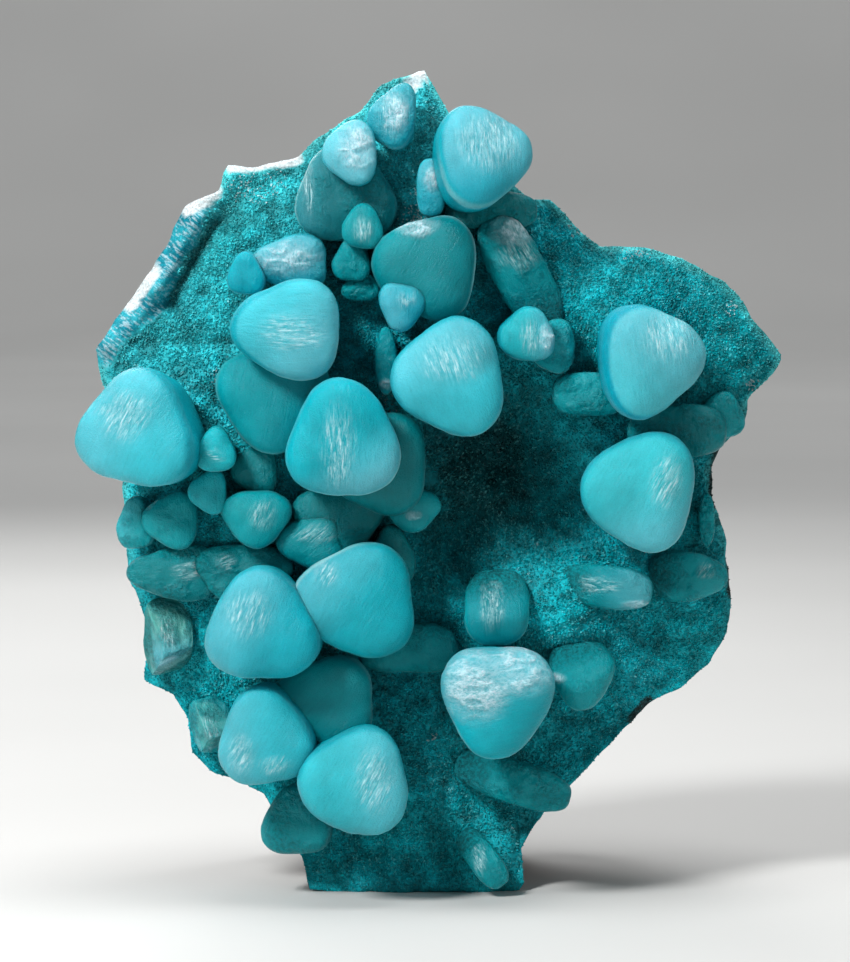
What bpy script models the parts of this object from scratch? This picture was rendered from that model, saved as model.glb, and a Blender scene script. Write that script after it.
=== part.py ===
"""Smithsonite: turquoise curved crystals on a drusy crust, which coats a piece of brown rock.

Millimetres are used throughout and turned into metres as each mesh is made. +Z is up, +X is to the
right as the specimen is seen from the front, and the crystals point towards -Y.
"""
import math
from typing import NamedTuple

import bmesh
import bpy
from mathutils import Matrix, Vector, noise

MM = 0.001

# The plane that the crust's front follows, and the place that the specimen is looked at from.
# A place in the tables below is where it is seen on that plane: it slides along the line of
# sight until it stands out from the plane by its own distance.
CRUST_PLANE_Y = -5.0
VIEW_DISTANCE = 500.0
VIEW_HEIGHT = 41.2
VIEW_SIDE = -0.6
VIEW_RISE = math.radians(4.0)
MIDDLE_SHIFT = -0.363

# Crust and rock
CRUST_THICKNESS = 4.0
CRUST_BACK_INSET = 0.985
EDGE_CURL = 1.6
EDGE_CURL_START = 0.86
# Heights between which the crust's edge starts to curl back; the foot below them is straight
CURL_FOOT = 2.0
CURL_TOP = 7.0
CRUST_LUMP_HEIGHT = 0.45
CRUST_LUMP_SIZE = 6.25
CRUST_LUMP_PATTERN = 3.7
CONTACT_GAP = 0.35
# A y behind every crystal's root: what lies between it and the crust's front is cut off
BEHIND_ROOTS_Y = 40.0
ROCK_INSET = 0.955
ROCK_REACH = 45.0
FOOT_TOP = 9.0
SPLIT_TOLERANCE = 0.001
# The rock's broken faces: a place on each, and the direction it looks in
ROCK_FACES = [
    ((0.0, 20.95, 0.0), (0.02, 1.0, 0.05)),
    ((0.0, 18.0, 48.0), (0.05, 1.0, 0.3)),
    ((-24.0, 8.0, 42.0), (-0.8, 0.75, 0.1)),
    ((26.0, 9.0, 45.0), (0.75, 0.8, 0.1)),
    ((0.0, 6.0, 72.0), (0.05, 0.7, 0.85)),
    ((-19.0, 6.0, 62.0), (-0.6, 0.7, 0.6)),
    ((25.0, 8.0, 60.0), (0.5, 0.75, 0.5)),
    ((22.0, 12.0, 15.0), (0.8, 0.45, -0.35)),
    ((-24.0, 11.0, 13.0), (-0.8, 0.45, -0.35)),
]
CRUST_CENTRE = (-0.1, 41.3)
CRUST_RINGS = (0.0, 0.12, 0.25, 0.38, 0.51, 0.64, 0.76, 0.87, 0.95, 1.0)
BED_RINGS = (0.0, 0.25, 0.51, 0.76, 1.0)

# The crust's outline, anticlockwise from its top tip, as seen from the front
OUTLINE = [
    (-0.8, 82.2), (-5.1, 80.8), (-7.0, 78.2), (-11.3, 75.5), (-13.1, 73.7), (-17.5, 72.5),
    (-20.3, 72.9), (-21.4, 70.2), (-24.6, 68.6), (-26.6, 64.3), (-29.8, 59.6), (-33.7, 54.5),
    (-32.6, 49.8), (-31.3, 43.5), (-30.6, 37.6), (-30.1, 31.3), (-28.6, 26.3), (-28.9, 21.1),
    (-25.9, 19.7), (-24.5, 17.0), (-23.9, 13.8), (-21.9, 11.5), (-19.1, 10.8), (-16.7, 9.3),
    (-15.1, 5.8), (-12.8, 3.1), (-12.3, 0.0), (-5.1, 0.0), (2.1, 0.0), (9.3, 0.0), (9.4, 1.9),
    (9.0, 4.2), (10.4, 6.5), (12.9, 9.1), (16.4, 12.3), (21.4, 18.2), (24.9, 20.1),
    (28.1, 22.8), (29.9, 25.8), (30.2, 29.3), (29.7, 34.3), (28.2, 40.1), (28.1, 42.3),
    (29.1, 44.5), (31.1, 46.8), (31.9, 49.5), (34.5, 52.1), (35.2, 53.7), (32.9, 56.5),
    (30.9, 59.3), (28.9, 61.4), (24.4, 63.5), (21.5, 64.6), (16.9, 64.6), (13.9, 67.1),
    (11.8, 69.2), (10.2, 69.3), (7.7, 71.0), (3.9, 74.3), (0.9, 79.3),
]


class Swell(NamedTuple):
    """A rounded rise of the surface, or a dip where its height is negative."""
    x: float
    z: float
    reach_x: float
    reach_z: float
    height: float


class Ridge(NamedTuple):
    """A straight ridge between two places, or a groove where its height is negative."""
    start: tuple
    end: tuple
    width: float
    height: float


# Forms that the rock and the crust share
BED_FORMS = [
    Swell(6.9, 43.6, 7.0, 7.5, -7.0),      # the deep hollow in the middle
    Swell(0.2, 34.8, 4.5, 3.5, -4.0),      # its lower left end
    Swell(21.9, 60.0, 13.0, 7.0, 3.5),     # right shoulder
    Swell(-1.1, 64.3, 6.0, 12.0, 2.5),     # spine below the top tip
    Swell(-25.1, 60.3, 7.0, 6.0, -2.0),    # open field inside the broken rim
    Swell(-19.1, 37.3, 9.0, 12.0, 3.0),    # mound under the left crystals
    Swell(10.9, 29.6, 10.0, 6.0, 4.5),     # mound below the hollow
    Swell(25.0, 27.3, 8.0, 9.0, -1.5),     # slope to the lower right edge
    Swell(13.4, 14.8, 5.5, 6.0, -3.5),     # dip at the lower right
    Swell(-3.0, 8.5, 9.0, 4.5, -1.5),      # scoop above the foot
    Swell(-1.1, 0.5, 13.0, 4.0, 2.0),      # the foot's own swell
]

# Forms of the crust alone
CRUST_FORMS = [
    Swell(13.4, 26.0, 3.2, 2.2, 1.8),
    Swell(22.0, 22.5, 4.0, 3.0, 0.8),
    Swell(4.0, 16.0, 5.0, 4.0, 1.0),
    Swell(19.0, 58.0, 4.0, 3.0, 0.7),
    Swell(30.5, 55.0, 3.0, 3.0, 0.8),
    Ridge((-22.0, 69.5), (-27.3, 60.6), 1.5, 2.2),
    Ridge((-27.3, 60.6), (-32.0, 55.0), 1.5, 1.8),
    Ridge((-21.6, 67.0), (-26.0, 59.4), 0.9, -1.3),
    Ridge((-12.0, 73.6), (-19.8, 71.6), 1.2, 1.0),
]


class Crystal(NamedTuple):
    """One crystal: where its head is seen, the head's half sizes, and how far out it stands."""
    x: float
    z: float
    half_width: float
    half_height: float
    out: float
    corners: tuple = (90, 210, 330)
    turn: float = 0.0
    lean: tuple = (0.0, 0.0)
    dome: float = 0.5
    stem: float = 0.45
    cleaved: bool = False


CLUSTERS = {
    "crystal_top_tip": [
        Crystal(-3.7, 77.5, 2.3, 3.3, 5, (80, 200, 320), turn=-18, lean=(-0.05, 0.2)),
    ],
    "crystals_top_left": [
        Crystal(-8.6, 69.6, 5.0, 4.8, 4, (100, 215, 330)),
        Crystal(-7.9, 74.0, 2.7, 3.1, 8, (70, 185, 300), lean=(-0.05, 0.15)),
        Crystal(-6.8, 66.5, 2.0, 2.25, 7, (90, 200, 320)),
        Crystal(-7.9, 63.2, 1.9, 2.1, 5, (90, 210, 320)),
        Crystal(-7.0, 60.6, 1.8, 1.6, 4, (80, 200, 330)),
    ],
    "crystals_upper_right": [
        Crystal(4.9, 73.6, 4.75, 4.85, 9.5, (6, 118, 258), lean=(0.2, 0.25)),
        Crystal(0.0, 70.5, 1.6, 2.75, 5.5, (80, 260)),
        Crystal(6.0, 68.2, 4.4, 2.1, 3.5, (0, 180)),
        Crystal(9.0, 61.8, 3.0, 6.0, 4, (80, 260), turn=30),
        Crystal(9.6, 55.7, 2.7, 2.7, 6.5, (80, 190, 330), lean=(0.1, 0.0)),
        Crystal(12.2, 54.7, 2.3, 2.7, 4, (60, 180, 300)),
    ],
    "crystals_upper_middle": [
        Crystal(-0.35, 62.6, 5.15, 5.25, 7, (50, 170, 300)),
        Crystal(-2.9, 58.9, 2.3, 2.6, 8.5, (150, 20, 265)),
    ],
    "crystals_left": [
        Crystal(-14.2, 56.3, 5.2, 5.1, 11.5, (50, 175, 308), lean=(-0.05, 0.0)),
        Crystal(-18.5, 61.8, 1.8, 2.15, 6.5, (90, 210, 330), lean=(-0.1, 0.0)),
        Crystal(-13.9, 63.0, 3.9, 2.8, 5, (60, 180, 300)),
        Crystal(-15.7, 49.6, 5.6, 5.2, 7, (40, 150, 270)),
        Crystal(-8.8, 45.2, 5.7, 5.75, 13.5, (95, 215, 325), lean=(0.05, 0.0)),
        Crystal(-5.1, 42.8, 5.1, 5.0, 7, (60, 180, 300)),
        Crystal(-1.9, 38.4, 2.75, 2.15, 6.5, (20, 150, 270)),
        Crystal(-9.1, 37.6, 4.5, 3.3, 5, (30, 150, 270)),
        Crystal(-11.7, 35.1, 3.4, 2.9, 5.5, (60, 180, 300)),
        Crystal(-3.9, 33.4, 2.3, 3.1, 5.5, (90, 210, 330)),
        Crystal(-16.9, 26.4, 5.6, 5.6, 12, (92, 210, 335), lean=(-0.1, 0.0)),
        Crystal(-7.3, 29.1, 5.85, 5.75, 10.5, (60, 175, 315), lean=(0.05, 0.0)),
        Crystal(-2.3, 24.4, 4.8, 2.8, 4, (0, 180)),
        Crystal(-19.0, 32.1, 5.0, 2.9, 4, (30, 150, 270)),
        Crystal(-25.4, 32.0, 4.6, 2.9, 3.5, (60, 180, 300)),
        Crystal(-25.9, 37.3, 2.8, 2.8, 5, (60, 180, 300)),
        Crystal(-29.6, 36.8, 1.9, 2.6, 4, (90, 210, 330), lean=(-0.2, 0.0)),
    ],
    "crystal_centre": [
        Crystal(2.0, 51.5, 5.55, 5.65, 12, (77, 180, 305)),
    ],
    "crystal_centre_slender": [
        Crystal(-4.5, 53.2, 1.2, 3.1, 5.5, (90, 270)),
    ],
    "crystals_left_edge": [
        Crystal(-29.3, 46.1, 5.85, 5.85, 10, (83, 196, 324), lean=(-0.3, 0.05)),
        Crystal(-21.5, 44.2, 1.95, 2.25, 8.5, (90, 210, 330)),
    ],
    "crystals_left_beads": [
        Crystal(-17.5, 37.6, 3.4, 2.9, 7, (30, 150, 270)),
        Crystal(-17.5, 42.3, 2.4, 2.5, 5, (60, 180, 300)),
    ],
    "crystal_left_lower_bead": [
        Crystal(-22.2, 40.1, 1.95, 2.2, 7, (60, 180, 300)),
    ],
    "crystal_broken_side": [
        Crystal(-26.4, 25.4, 2.6, 4.2, 2.5, (45, 135, 225, 315), cleaved=True),
    ],
    "crystal_broken_corner": [
        Crystal(-22.1, 16.6, 2.2, 3.0, 2.5, (45, 135, 225, 315), turn=15, cleaved=True),
    ],
    "crystals_bottom_left": [
        Crystal(-10.6, 18.8, 5.3, 4.7, 7, (60, 180, 300)),
        Crystal(-16.65, 15.3, 4.75, 4.9, 10.5, (98, 222, 335), lean=(-0.15, -0.05)),
        Crystal(-7.6, 10.9, 5.3, 5.4, 11.5, (65, 178, 318), lean=(0.05, 0.0)),
    ],
    "crystal_bottom_left_slab": [
        Crystal(-13.5, 6.8, 3.4, 3.5, 4, (90, 210, 330), lean=(-0.2, 0.0)),
    ],
    "crystals_right_upper": [
        Crystal(21.55, 53.3, 5.35, 5.5, 8.5, (12, 120, 250), lean=(0.15, 0.0)),
        Crystal(15.8, 49.9, 3.6, 2.4, 3.5, (0, 180)),
    ],
    "crystals_right_middle": [
        Crystal(21.05, 40.3, 5.55, 5.85, 8.5, (180, 290, 50), lean=(-0.05, 0.0)),
        Crystal(24.5, 46.3, 4.6, 3.0, 3.5, (0, 180)),
        Crystal(29.3, 47.6, 2.05, 2.3, 2.5, (90, 210, 330), lean=(0.3, 0.0)),
    ],
    "crystal_right_sliver": [
        Crystal(27.6, 37.3, 0.9, 2.5, 2, (90, 270)),
    ],
    "crystal_right_edge": [
        Crystal(25.9, 31.6, 3.5, 2.6, 3.5, (0, 140, 240), lean=(0.15, 0.0)),
    ],
    "crystal_right_rod": [
        Crystal(17.6, 30.5, 4.5, 2.4, 5, (25, 155, 205, 335), turn=-5, lean=(0.1, 0.0)),
    ],
    "crystal_lower_middle_stalk": [
        Crystal(6.6, 28.4, 3.2, 3.8, 6.5, (90, 210, 330)),
    ],
    "crystal_lower_middle": [
        Crystal(6.65, 19.3, 5.55, 5.6, 12.5, (150, 265, 30), lean=(-0.02, -0.05), stem=0.42),
    ],
    "crystal_lower_middle_side": [
        Crystal(15.1, 21.8, 3.3, 3.4, 5, (30, 150, 270)),
    ],
    "crystal_lower_right": [
        Crystal(8.3, 10.8, 5.7, 2.4, 4, (0, 180), turn=-16),
    ],
    "crystal_foot": [
        Crystal(5.2, 3.0, 1.7, 3.1, 5, (90, 270), turn=40),
    ],
}

# How many sides and rings a crystal has, by the larger of its half sizes
LARGE_CRYSTAL = 4.5
MEDIUM_CRYSTAL = 2.6
CRYSTAL_SIDES = {"large": (12, 8), "medium": (10, 6), "small": (8, 6)}
CORNER_STRENGTH = 0.075
ROOT_DEPTH = 3.0
FLAT_ANGLE = math.radians(8.0)
# Powers of the crystal's profile; below 1 a curve is fuller than a quarter circle
HEAD_FULLNESS = 0.92
DOME_FULLNESS = 0.9
STEM_FULLNESS = 0.85
STEM_SPACING = 1.15
# Directions of the broken faces, and how far from the middle they lie as a share of its reach
CLEAVAGES = [((0.35, -1.0, 0.55), 0.25), ((-0.9, -0.7, -0.1), 0.45), ((0.5, -0.6, -0.9), 0.7)]

ROCK_COLOUR = (0.07, 0.045, 0.03)
ROCK_ROUGHNESS = 0.85
DRUSE_COLOUR = (0.02, 0.25, 0.24)
DRUSE_ROUGHNESS = 0.55
CRYSTAL_COLOUR = (0.2, 0.62, 0.62)
CRYSTAL_ROUGHNESS = 0.3


def along_sight(x, z, out):
    """The place at that distance out which is seen at (x, z) on the crust's plane, and its scale."""
    eye_back = VIEW_DISTANCE * math.cos(VIEW_RISE)
    eye_z = VIEW_HEIGHT + VIEW_DISTANCE * math.sin(VIEW_RISE)
    scale = 1.0 - out / eye_back
    place_x = VIEW_SIDE + (x - VIEW_SIDE) * scale
    place_z = eye_z + (z - eye_z) * scale
    return Vector((place_x, CRUST_PLANE_Y - out, place_z)), scale


def form_height(form, x, z):
    """How far one swell or ridge lifts the surface at (x, z)."""
    if isinstance(form, Swell):
        across = (x - form.x) / form.reach_x
        up = (z - form.z) / form.reach_z
        return form.height * math.exp(-across * across - up * up)
    start = Vector(form.start)
    along = Vector(form.end) - start
    share = (Vector((x, z)) - start).dot(along) / along.length_squared
    nearest = start + along * min(max(share, 0.0), 1.0)
    distance = (Vector((x, z)) - nearest).length
    return form.height * math.exp(-((distance / form.width) ** 2))


def bed_out(x, z):
    """How far the rock's own shape stands out from the crust's plane."""
    return sum(form_height(form, x, z) for form in BED_FORMS)


def crust_out(x, z):
    """How far the crust's front stands out from its plane."""
    place = Vector((x / CRUST_LUMP_SIZE, CRUST_LUMP_PATTERN, z / CRUST_LUMP_SIZE))
    lumps = CRUST_LUMP_HEIGHT * noise.noise(place)
    return bed_out(x, z) + lumps + sum(form_height(form, x, z) for form in CRUST_FORMS)


def eased(value, low, high):
    """0 below low, 1 above high and a smooth step between."""
    share = min(max((value - low) / (high - low), 0.0), 1.0)
    return share * share * (3.0 - 2.0 * share)


def sphere_grid(sides, rings, place):
    """A closed mesh from a sphere whose point on ring r and side s is moved to place(r, s)."""
    mesh = bmesh.new()
    bmesh.ops.create_uvsphere(mesh, u_segments=sides, v_segments=rings, radius=1.0)
    for vertex in mesh.verts:
        ring = round(math.acos(max(-1.0, min(1.0, vertex.co.z))) / math.pi * rings)
        side = round(math.atan2(vertex.co.y, vertex.co.x) / math.tau * sides) % sides
        vertex.co = place(ring, side) * MM
    bmesh.ops.triangulate(mesh, faces=mesh.faces[:], quad_method="SHORT_EDGE")
    bmesh.ops.recalc_face_normals(mesh, faces=mesh.faces[:])
    return mesh


def make_object(name, mesh, collection):
    """Puts a bmesh into the scene as an object of that name."""
    data = bpy.data.meshes.new(name)
    mesh.to_mesh(data)
    mesh.free()
    made = bpy.data.objects.new(name, data)
    collection.objects.link(made)
    return made


def outline_place(side, share, grow=0.0):
    """The place that share of the way from the crust's centre to its outline, grown outwards."""
    centre = Vector(CRUST_CENTRE)
    arm = Vector(OUTLINE[side]) - centre
    return centre + arm * (share * (1.0 + grow / arm.length))


def crust_mesh(rings, lift, grow, back):
    """The crust, or with lift and grow the room that it and its gap take up."""
    last_front = len(rings) - 1
    back_rings = BED_RINGS[::-1]

    def place(ring, side):
        if ring <= last_front:
            share = rings[ring]
            x, z = outline_place(side, share, grow)
            curl = EDGE_CURL * eased(share, EDGE_CURL_START, 1.0) * eased(z, CURL_FOOT, CURL_TOP)
            y = CRUST_PLANE_Y - crust_out(x, z) - lift + curl
        else:
            share = back_rings[ring - last_front - 1] * CRUST_BACK_INSET
            x, z = outline_place(side, share, grow)
            y = back(x, z)
        return Vector((x + MIDDLE_SHIFT, y, z if grow else max(z, 0.0)))

    return sphere_grid(len(OUTLINE), last_front + len(back_rings), place)


def bed_back(x, z):
    """The crust's back, which follows the rock."""
    return CRUST_PLANE_Y - bed_out(x, z) + CRUST_THICKNESS


def split_off(mesh, place, normal):
    """Breaks a mesh flat at a plane, keeps the side behind it and closes the break."""
    cut = bmesh.ops.bisect_plane(
        mesh, geom=mesh.verts[:] + mesh.edges[:] + mesh.faces[:], dist=SPLIT_TOLERANCE * MM,
        plane_co=place * MM, plane_no=normal, clear_outer=True)
    edges = [item for item in cut["geom_cut"] if isinstance(item, bmesh.types.BMEdge)]
    bmesh.ops.triangle_fill(mesh, use_beauty=True, edges=edges)
    bmesh.ops.recalc_face_normals(mesh, faces=mesh.faces[:])


def rock_mesh():
    """The rock behind the crust: a block with broken sides and back, and a flat foot."""
    front_shares = [share * CRUST_BACK_INSET for share in BED_RINGS]
    front_shares[-1] = ROCK_INSET
    last_front = len(front_shares) - 1
    # the inset rock is let down again at the foot, to stand on the same level as the crust
    foot_rise = CRUST_CENTRE[1] * (1.0 - ROCK_INSET)

    def place(ring, side):
        share = front_shares[ring] if ring <= last_front else ROCK_INSET * (last_front + 2 - ring)
        x, z = outline_place(side, share)
        z -= foot_rise * (1.0 - eased(z, foot_rise, FOOT_TOP))
        y = bed_back(x, z) + CONTACT_GAP if ring <= last_front else ROCK_REACH
        return Vector((x + MIDDLE_SHIFT, y, max(z, 0.0)))

    mesh = sphere_grid(len(OUTLINE), last_front + 2, place)
    for spot, normal in ROCK_FACES:
        split_off(mesh, Vector(spot) + Vector((MIDDLE_SHIFT, 0.0, 0.0)), Vector(normal))
    return mesh


def corner_swell(angle, corners):
    """Radius of a rounded outline that reaches furthest at its corners."""
    turns = sorted(math.radians(corner) % math.tau for corner in corners)
    for index, start in enumerate(turns):
        gap = (turns[(index + 1) % len(turns)] - start) % math.tau or math.tau
        ahead = (angle - start) % math.tau
        if ahead < gap:
            return 1.0 + CORNER_STRENGTH * math.cos(math.tau * ahead / gap)
    return 1.0


def crystal_size(crystal):
    """The name of the crystal's size class."""
    reach = max(crystal.half_width, crystal.half_height)
    if reach > LARGE_CRYSTAL:
        return "large"
    return "medium" if reach > MEDIUM_CRYSTAL else "small"


def crystal_mesh(crystal):
    """A crystal: a gently domed three-sided head that narrows to a stem rooted in the crust."""
    sides, rings = CRYSTAL_SIDES[crystal_size(crystal)]
    centre, scale = along_sight(crystal.x, crystal.z, crystal.out)
    outward = Vector((crystal.lean[0], -1.0, crystal.lean[1])).normalized()
    right = Vector((0.0, 0.0, 1.0)).cross(-outward).normalized()
    right = -right if right.x < 0 else right
    up = right.cross(-outward).normalized()
    up = -up if up.z < 0 else up
    reach = min(crystal.half_width, crystal.half_height) * scale
    depth = crystal.out - bed_out(crystal.x, crystal.z) + ROOT_DEPTH
    turned = Matrix.Rotation(math.radians(crystal.turn), 2)

    def place(ring, side):
        tilt = math.pi * ring / rings
        angle = math.tau * side / sides
        if ring * 2 <= rings:
            radius = math.sin(tilt) ** HEAD_FULLNESS
            height = crystal.dome * reach * max(math.cos(tilt), 0.0) ** DOME_FULLNESS
        else:
            back = (tilt - math.pi / 2) / (math.pi / 2)
            narrowing = math.cos(back * math.pi / 2) ** STEM_FULLNESS
            radius = 0.0 if ring == rings else crystal.stem + (1.0 - crystal.stem) * narrowing
            height = -depth * back ** STEM_SPACING
        radius *= corner_swell(angle, crystal.corners)
        flat = turned @ Vector((
            math.cos(angle) * crystal.half_width * scale * radius,
            math.sin(angle) * crystal.half_height * scale * radius,
        ))
        spot = centre + right * flat.x + up * flat.y + outward * height
        return Vector((spot.x + MIDDLE_SHIFT, spot.y, spot.z))

    mesh = sphere_grid(sides, rings, place)
    if crystal.cleaved:
        middle = Vector((centre.x + MIDDLE_SHIFT, centre.y, centre.z))
        cleave(mesh, middle, reach)
    return mesh


def cleave(mesh, middle, reach):
    """Splits flat faces off a crystal, as smithsonite breaks along its three cleavages."""
    for direction, share in CLEAVAGES:
        normal = Vector(direction).normalized()
        split_off(mesh, middle + normal * reach * share, normal)


def material(name, colour, roughness):
    """A plain Principled material."""
    made = bpy.data.materials.new(name)
    made.use_nodes = True
    shader = made.node_tree.nodes["Principled BSDF"]
    shader.inputs["Base Color"].default_value = (*colour, 1.0)
    shader.inputs["Roughness"].default_value = roughness
    shader.inputs["Metallic"].default_value = 0.0
    return made


def add_boolean(target, operation, tool):
    """Joins the tool to the target, or takes it away."""
    modifier = target.modifiers.new(f"{operation}_{tool.name}", "BOOLEAN")
    modifier.operation = operation
    modifier.solver = "EXACT"
    modifier.object = tool


def hide_guide(guide):
    """Marks an object as a tool that is only cut or joined with."""
    guide.hide_render = True
    guide.display_type = "WIRE"


def main():
    for old in list(bpy.data.objects):
        bpy.data.objects.remove(old, do_unlink=True)
    specimen = bpy.data.collections.new("smithsonite")
    guides = bpy.data.collections.new("guides")
    bpy.context.scene.collection.children.link(specimen)
    bpy.context.scene.collection.children.link(guides)

    rock = make_object("matrix", rock_mesh(), specimen)
    rock.data.materials.append(material("brown_rock", ROCK_COLOUR, ROCK_ROUGHNESS))

    crust = make_object("drusy_crust", crust_mesh(CRUST_RINGS, 0.0, 0.0, bed_back), specimen)
    crust.data.materials.append(material("teal_druse", DRUSE_COLOUR, DRUSE_ROUGHNESS))

    room_mesh = crust_mesh(CRUST_RINGS, CONTACT_GAP, CONTACT_GAP, lambda x, z: BEHIND_ROOTS_Y)
    room = make_object("crust_room", room_mesh, guides)
    hide_guide(room)

    for name, crystals in CLUSTERS.items():
        cluster = make_object(name, crystal_mesh(crystals[0]), specimen)
        cluster.data.materials.append(material(name, CRYSTAL_COLOUR, CRYSTAL_ROUGHNESS))
        for number, crystal in enumerate(crystals[1:], start=2):
            partner = make_object(f"{name}_{number}", crystal_mesh(crystal), guides)
            hide_guide(partner)
            add_boolean(cluster, "UNION", partner)
        add_boolean(cluster, "DIFFERENCE", room)
        flatten = cluster.modifiers.new("join_flat_faces", "DECIMATE")
        flatten.decimate_type = "DISSOLVE"
        flatten.angle_limit = FLAT_ANGLE
        cluster.data.shade_smooth()


main()
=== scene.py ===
"""The finish of the smithsonite specimen: crystals, drusy crust, rock, light and camera.

Millimetres are used throughout and turned into metres as each mesh is made.
"""
import math
from typing import NamedTuple

import bpy
import numpy as np
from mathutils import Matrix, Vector, noise


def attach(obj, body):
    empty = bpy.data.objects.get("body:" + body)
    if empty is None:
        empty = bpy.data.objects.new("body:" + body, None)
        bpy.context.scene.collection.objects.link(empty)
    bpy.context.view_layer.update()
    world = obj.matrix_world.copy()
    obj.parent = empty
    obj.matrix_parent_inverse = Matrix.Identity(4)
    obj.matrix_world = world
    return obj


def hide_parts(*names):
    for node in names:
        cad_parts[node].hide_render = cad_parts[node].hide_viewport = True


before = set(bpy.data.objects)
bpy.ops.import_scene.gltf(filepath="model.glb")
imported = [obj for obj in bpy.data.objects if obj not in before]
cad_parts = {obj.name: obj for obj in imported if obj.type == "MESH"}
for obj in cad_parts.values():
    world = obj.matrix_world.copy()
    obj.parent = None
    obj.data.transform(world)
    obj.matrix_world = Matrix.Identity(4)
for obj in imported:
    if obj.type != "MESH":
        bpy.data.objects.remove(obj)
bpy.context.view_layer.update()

MM = 0.001

# The same frame as the solids: the crust's plane, the place that it is looked at from, and the
# line of sight that a place in the tables slides along
CRUST_PLANE_Y = -5.0
VIEW_DISTANCE = 500.0
VIEW_HEIGHT = 41.2
VIEW_SIDE = -0.6
VIEW_RISE = math.radians(4.0)
MIDDLE_SHIFT = -0.363
SHIFT = np.array([MIDDLE_SHIFT, 0.0, 0.0])
VIEW_WIDTH = 85.0
SENSOR_WIDTH = 36.0

# Crust, as in the solids
CRUST_THICKNESS = 4.0
CRUST_BACK_INSET = 0.985
EDGE_CURL = 1.6
EDGE_CURL_START = 0.86
CRUST_CENTRE = (-0.1, 41.3)
OUTLINE = [
    (-0.8, 82.2), (-5.1, 80.8), (-7.0, 78.2), (-11.3, 75.5), (-13.1, 73.7), (-17.5, 72.5),
    (-20.3, 72.9), (-21.4, 70.2), (-24.6, 68.6), (-26.6, 64.3), (-29.8, 59.6), (-33.7, 54.5),
    (-32.6, 49.8), (-31.3, 43.5), (-30.6, 37.6), (-30.1, 31.3), (-28.6, 26.3), (-28.9, 21.1),
    (-25.9, 19.7), (-24.5, 17.0), (-23.9, 13.8), (-21.9, 11.5), (-19.1, 10.8), (-16.7, 9.3),
    (-15.1, 5.8), (-12.8, 3.1), (-12.3, 0.0), (-5.1, 0.0), (2.1, 0.0), (9.3, 0.0), (9.4, 1.9),
    (9.0, 4.2), (10.4, 6.5), (12.9, 9.1), (16.4, 12.3), (21.4, 18.2), (24.9, 20.1),
    (28.1, 22.8), (29.9, 25.8), (30.2, 29.3), (29.7, 34.3), (28.2, 40.1), (28.1, 42.3),
    (29.1, 44.5), (31.1, 46.8), (31.9, 49.5), (34.5, 52.1), (35.2, 53.7), (32.9, 56.5),
    (30.9, 59.3), (28.9, 61.4), (24.4, 63.5), (21.5, 64.6), (16.9, 64.6), (13.9, 67.1),
    (11.8, 69.2), (10.2, 69.3), (7.7, 71.0), (3.9, 74.3), (0.9, 79.3),
]


class Swell(NamedTuple):
    """A rounded rise of the surface, or a dip where its height is negative."""
    x: float
    z: float
    reach_x: float
    reach_z: float
    height: float


class Ridge(NamedTuple):
    """A straight ridge between two places, or a groove where its height is negative."""
    start: tuple
    end: tuple
    width: float
    height: float


BED_FORMS = [
    Swell(6.9, 43.6, 7.0, 7.5, -7.0),      # the deep hollow in the middle
    Swell(0.2, 34.8, 4.5, 3.5, -4.0),      # its lower left end
    Swell(21.9, 60.0, 13.0, 7.0, 3.5),     # right shoulder
    Swell(-1.1, 64.3, 6.0, 12.0, 2.5),     # spine below the top tip
    Swell(-25.1, 60.3, 7.0, 6.0, -2.0),    # open field inside the broken rim
    Swell(-19.1, 37.3, 9.0, 12.0, 3.0),    # mound under the left crystals
    Swell(10.9, 29.6, 10.0, 6.0, 4.5),     # mound below the hollow
    Swell(25.0, 27.3, 8.0, 9.0, -1.5),     # slope to the lower right edge
    Swell(13.4, 14.8, 5.5, 6.0, -3.5),     # dip at the lower right
    Swell(-3.0, 8.5, 9.0, 4.5, -1.5),      # scoop above the foot
    Swell(-1.1, 0.5, 13.0, 4.0, 2.0),      # the foot's own swell
]
CRUST_FORMS = [
    Swell(13.4, 26.0, 3.2, 2.2, 1.8),
    Swell(22.0, 22.5, 4.0, 3.0, 0.8),
    Swell(4.0, 16.0, 5.0, 4.0, 1.0),
    Swell(19.0, 58.0, 4.0, 3.0, 0.7),
    Swell(30.5, 55.0, 3.0, 3.0, 0.8),
    Ridge((-22.0, 69.5), (-27.3, 60.6), 1.5, 2.2),
    Ridge((-27.3, 60.6), (-32.0, 55.0), 1.5, 1.8),
    Ridge((-21.6, 67.0), (-26.0, 59.4), 0.9, -1.3),
    Ridge((-12.0, 73.6), (-19.8, 71.6), 1.2, 1.0),
]


def srgb(red, green, blue):
    """A screen colour of 0 to 255 as the linear colour that shaders use."""
    parts = [value / 255.0 for value in (red, green, blue)]
    return tuple(
        part / 12.92 if part <= 0.04045 else ((part + 0.055) / 1.055) ** 2.4 for part in parts)


DEEP = srgb(0, 132, 140)
TEAL = srgb(0, 152, 160)
TURQUOISE = srgb(0, 162, 178)
AQUA = srgb(30, 162, 180)
PALE = srgb(98, 184, 198)
# colour of the pale rim: painted light that shines through a head's thin edge
RIM_GLOW = srgb(150, 214, 220)
COAT = srgb(0, 138, 146)
WHITE = srgb(232, 242, 244)
FROST = srgb(206, 232, 240)
# white of the painted highlights: silky streaks and glints on the heads
SHEEN_WHITE = srgb(212, 240, 243)


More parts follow.
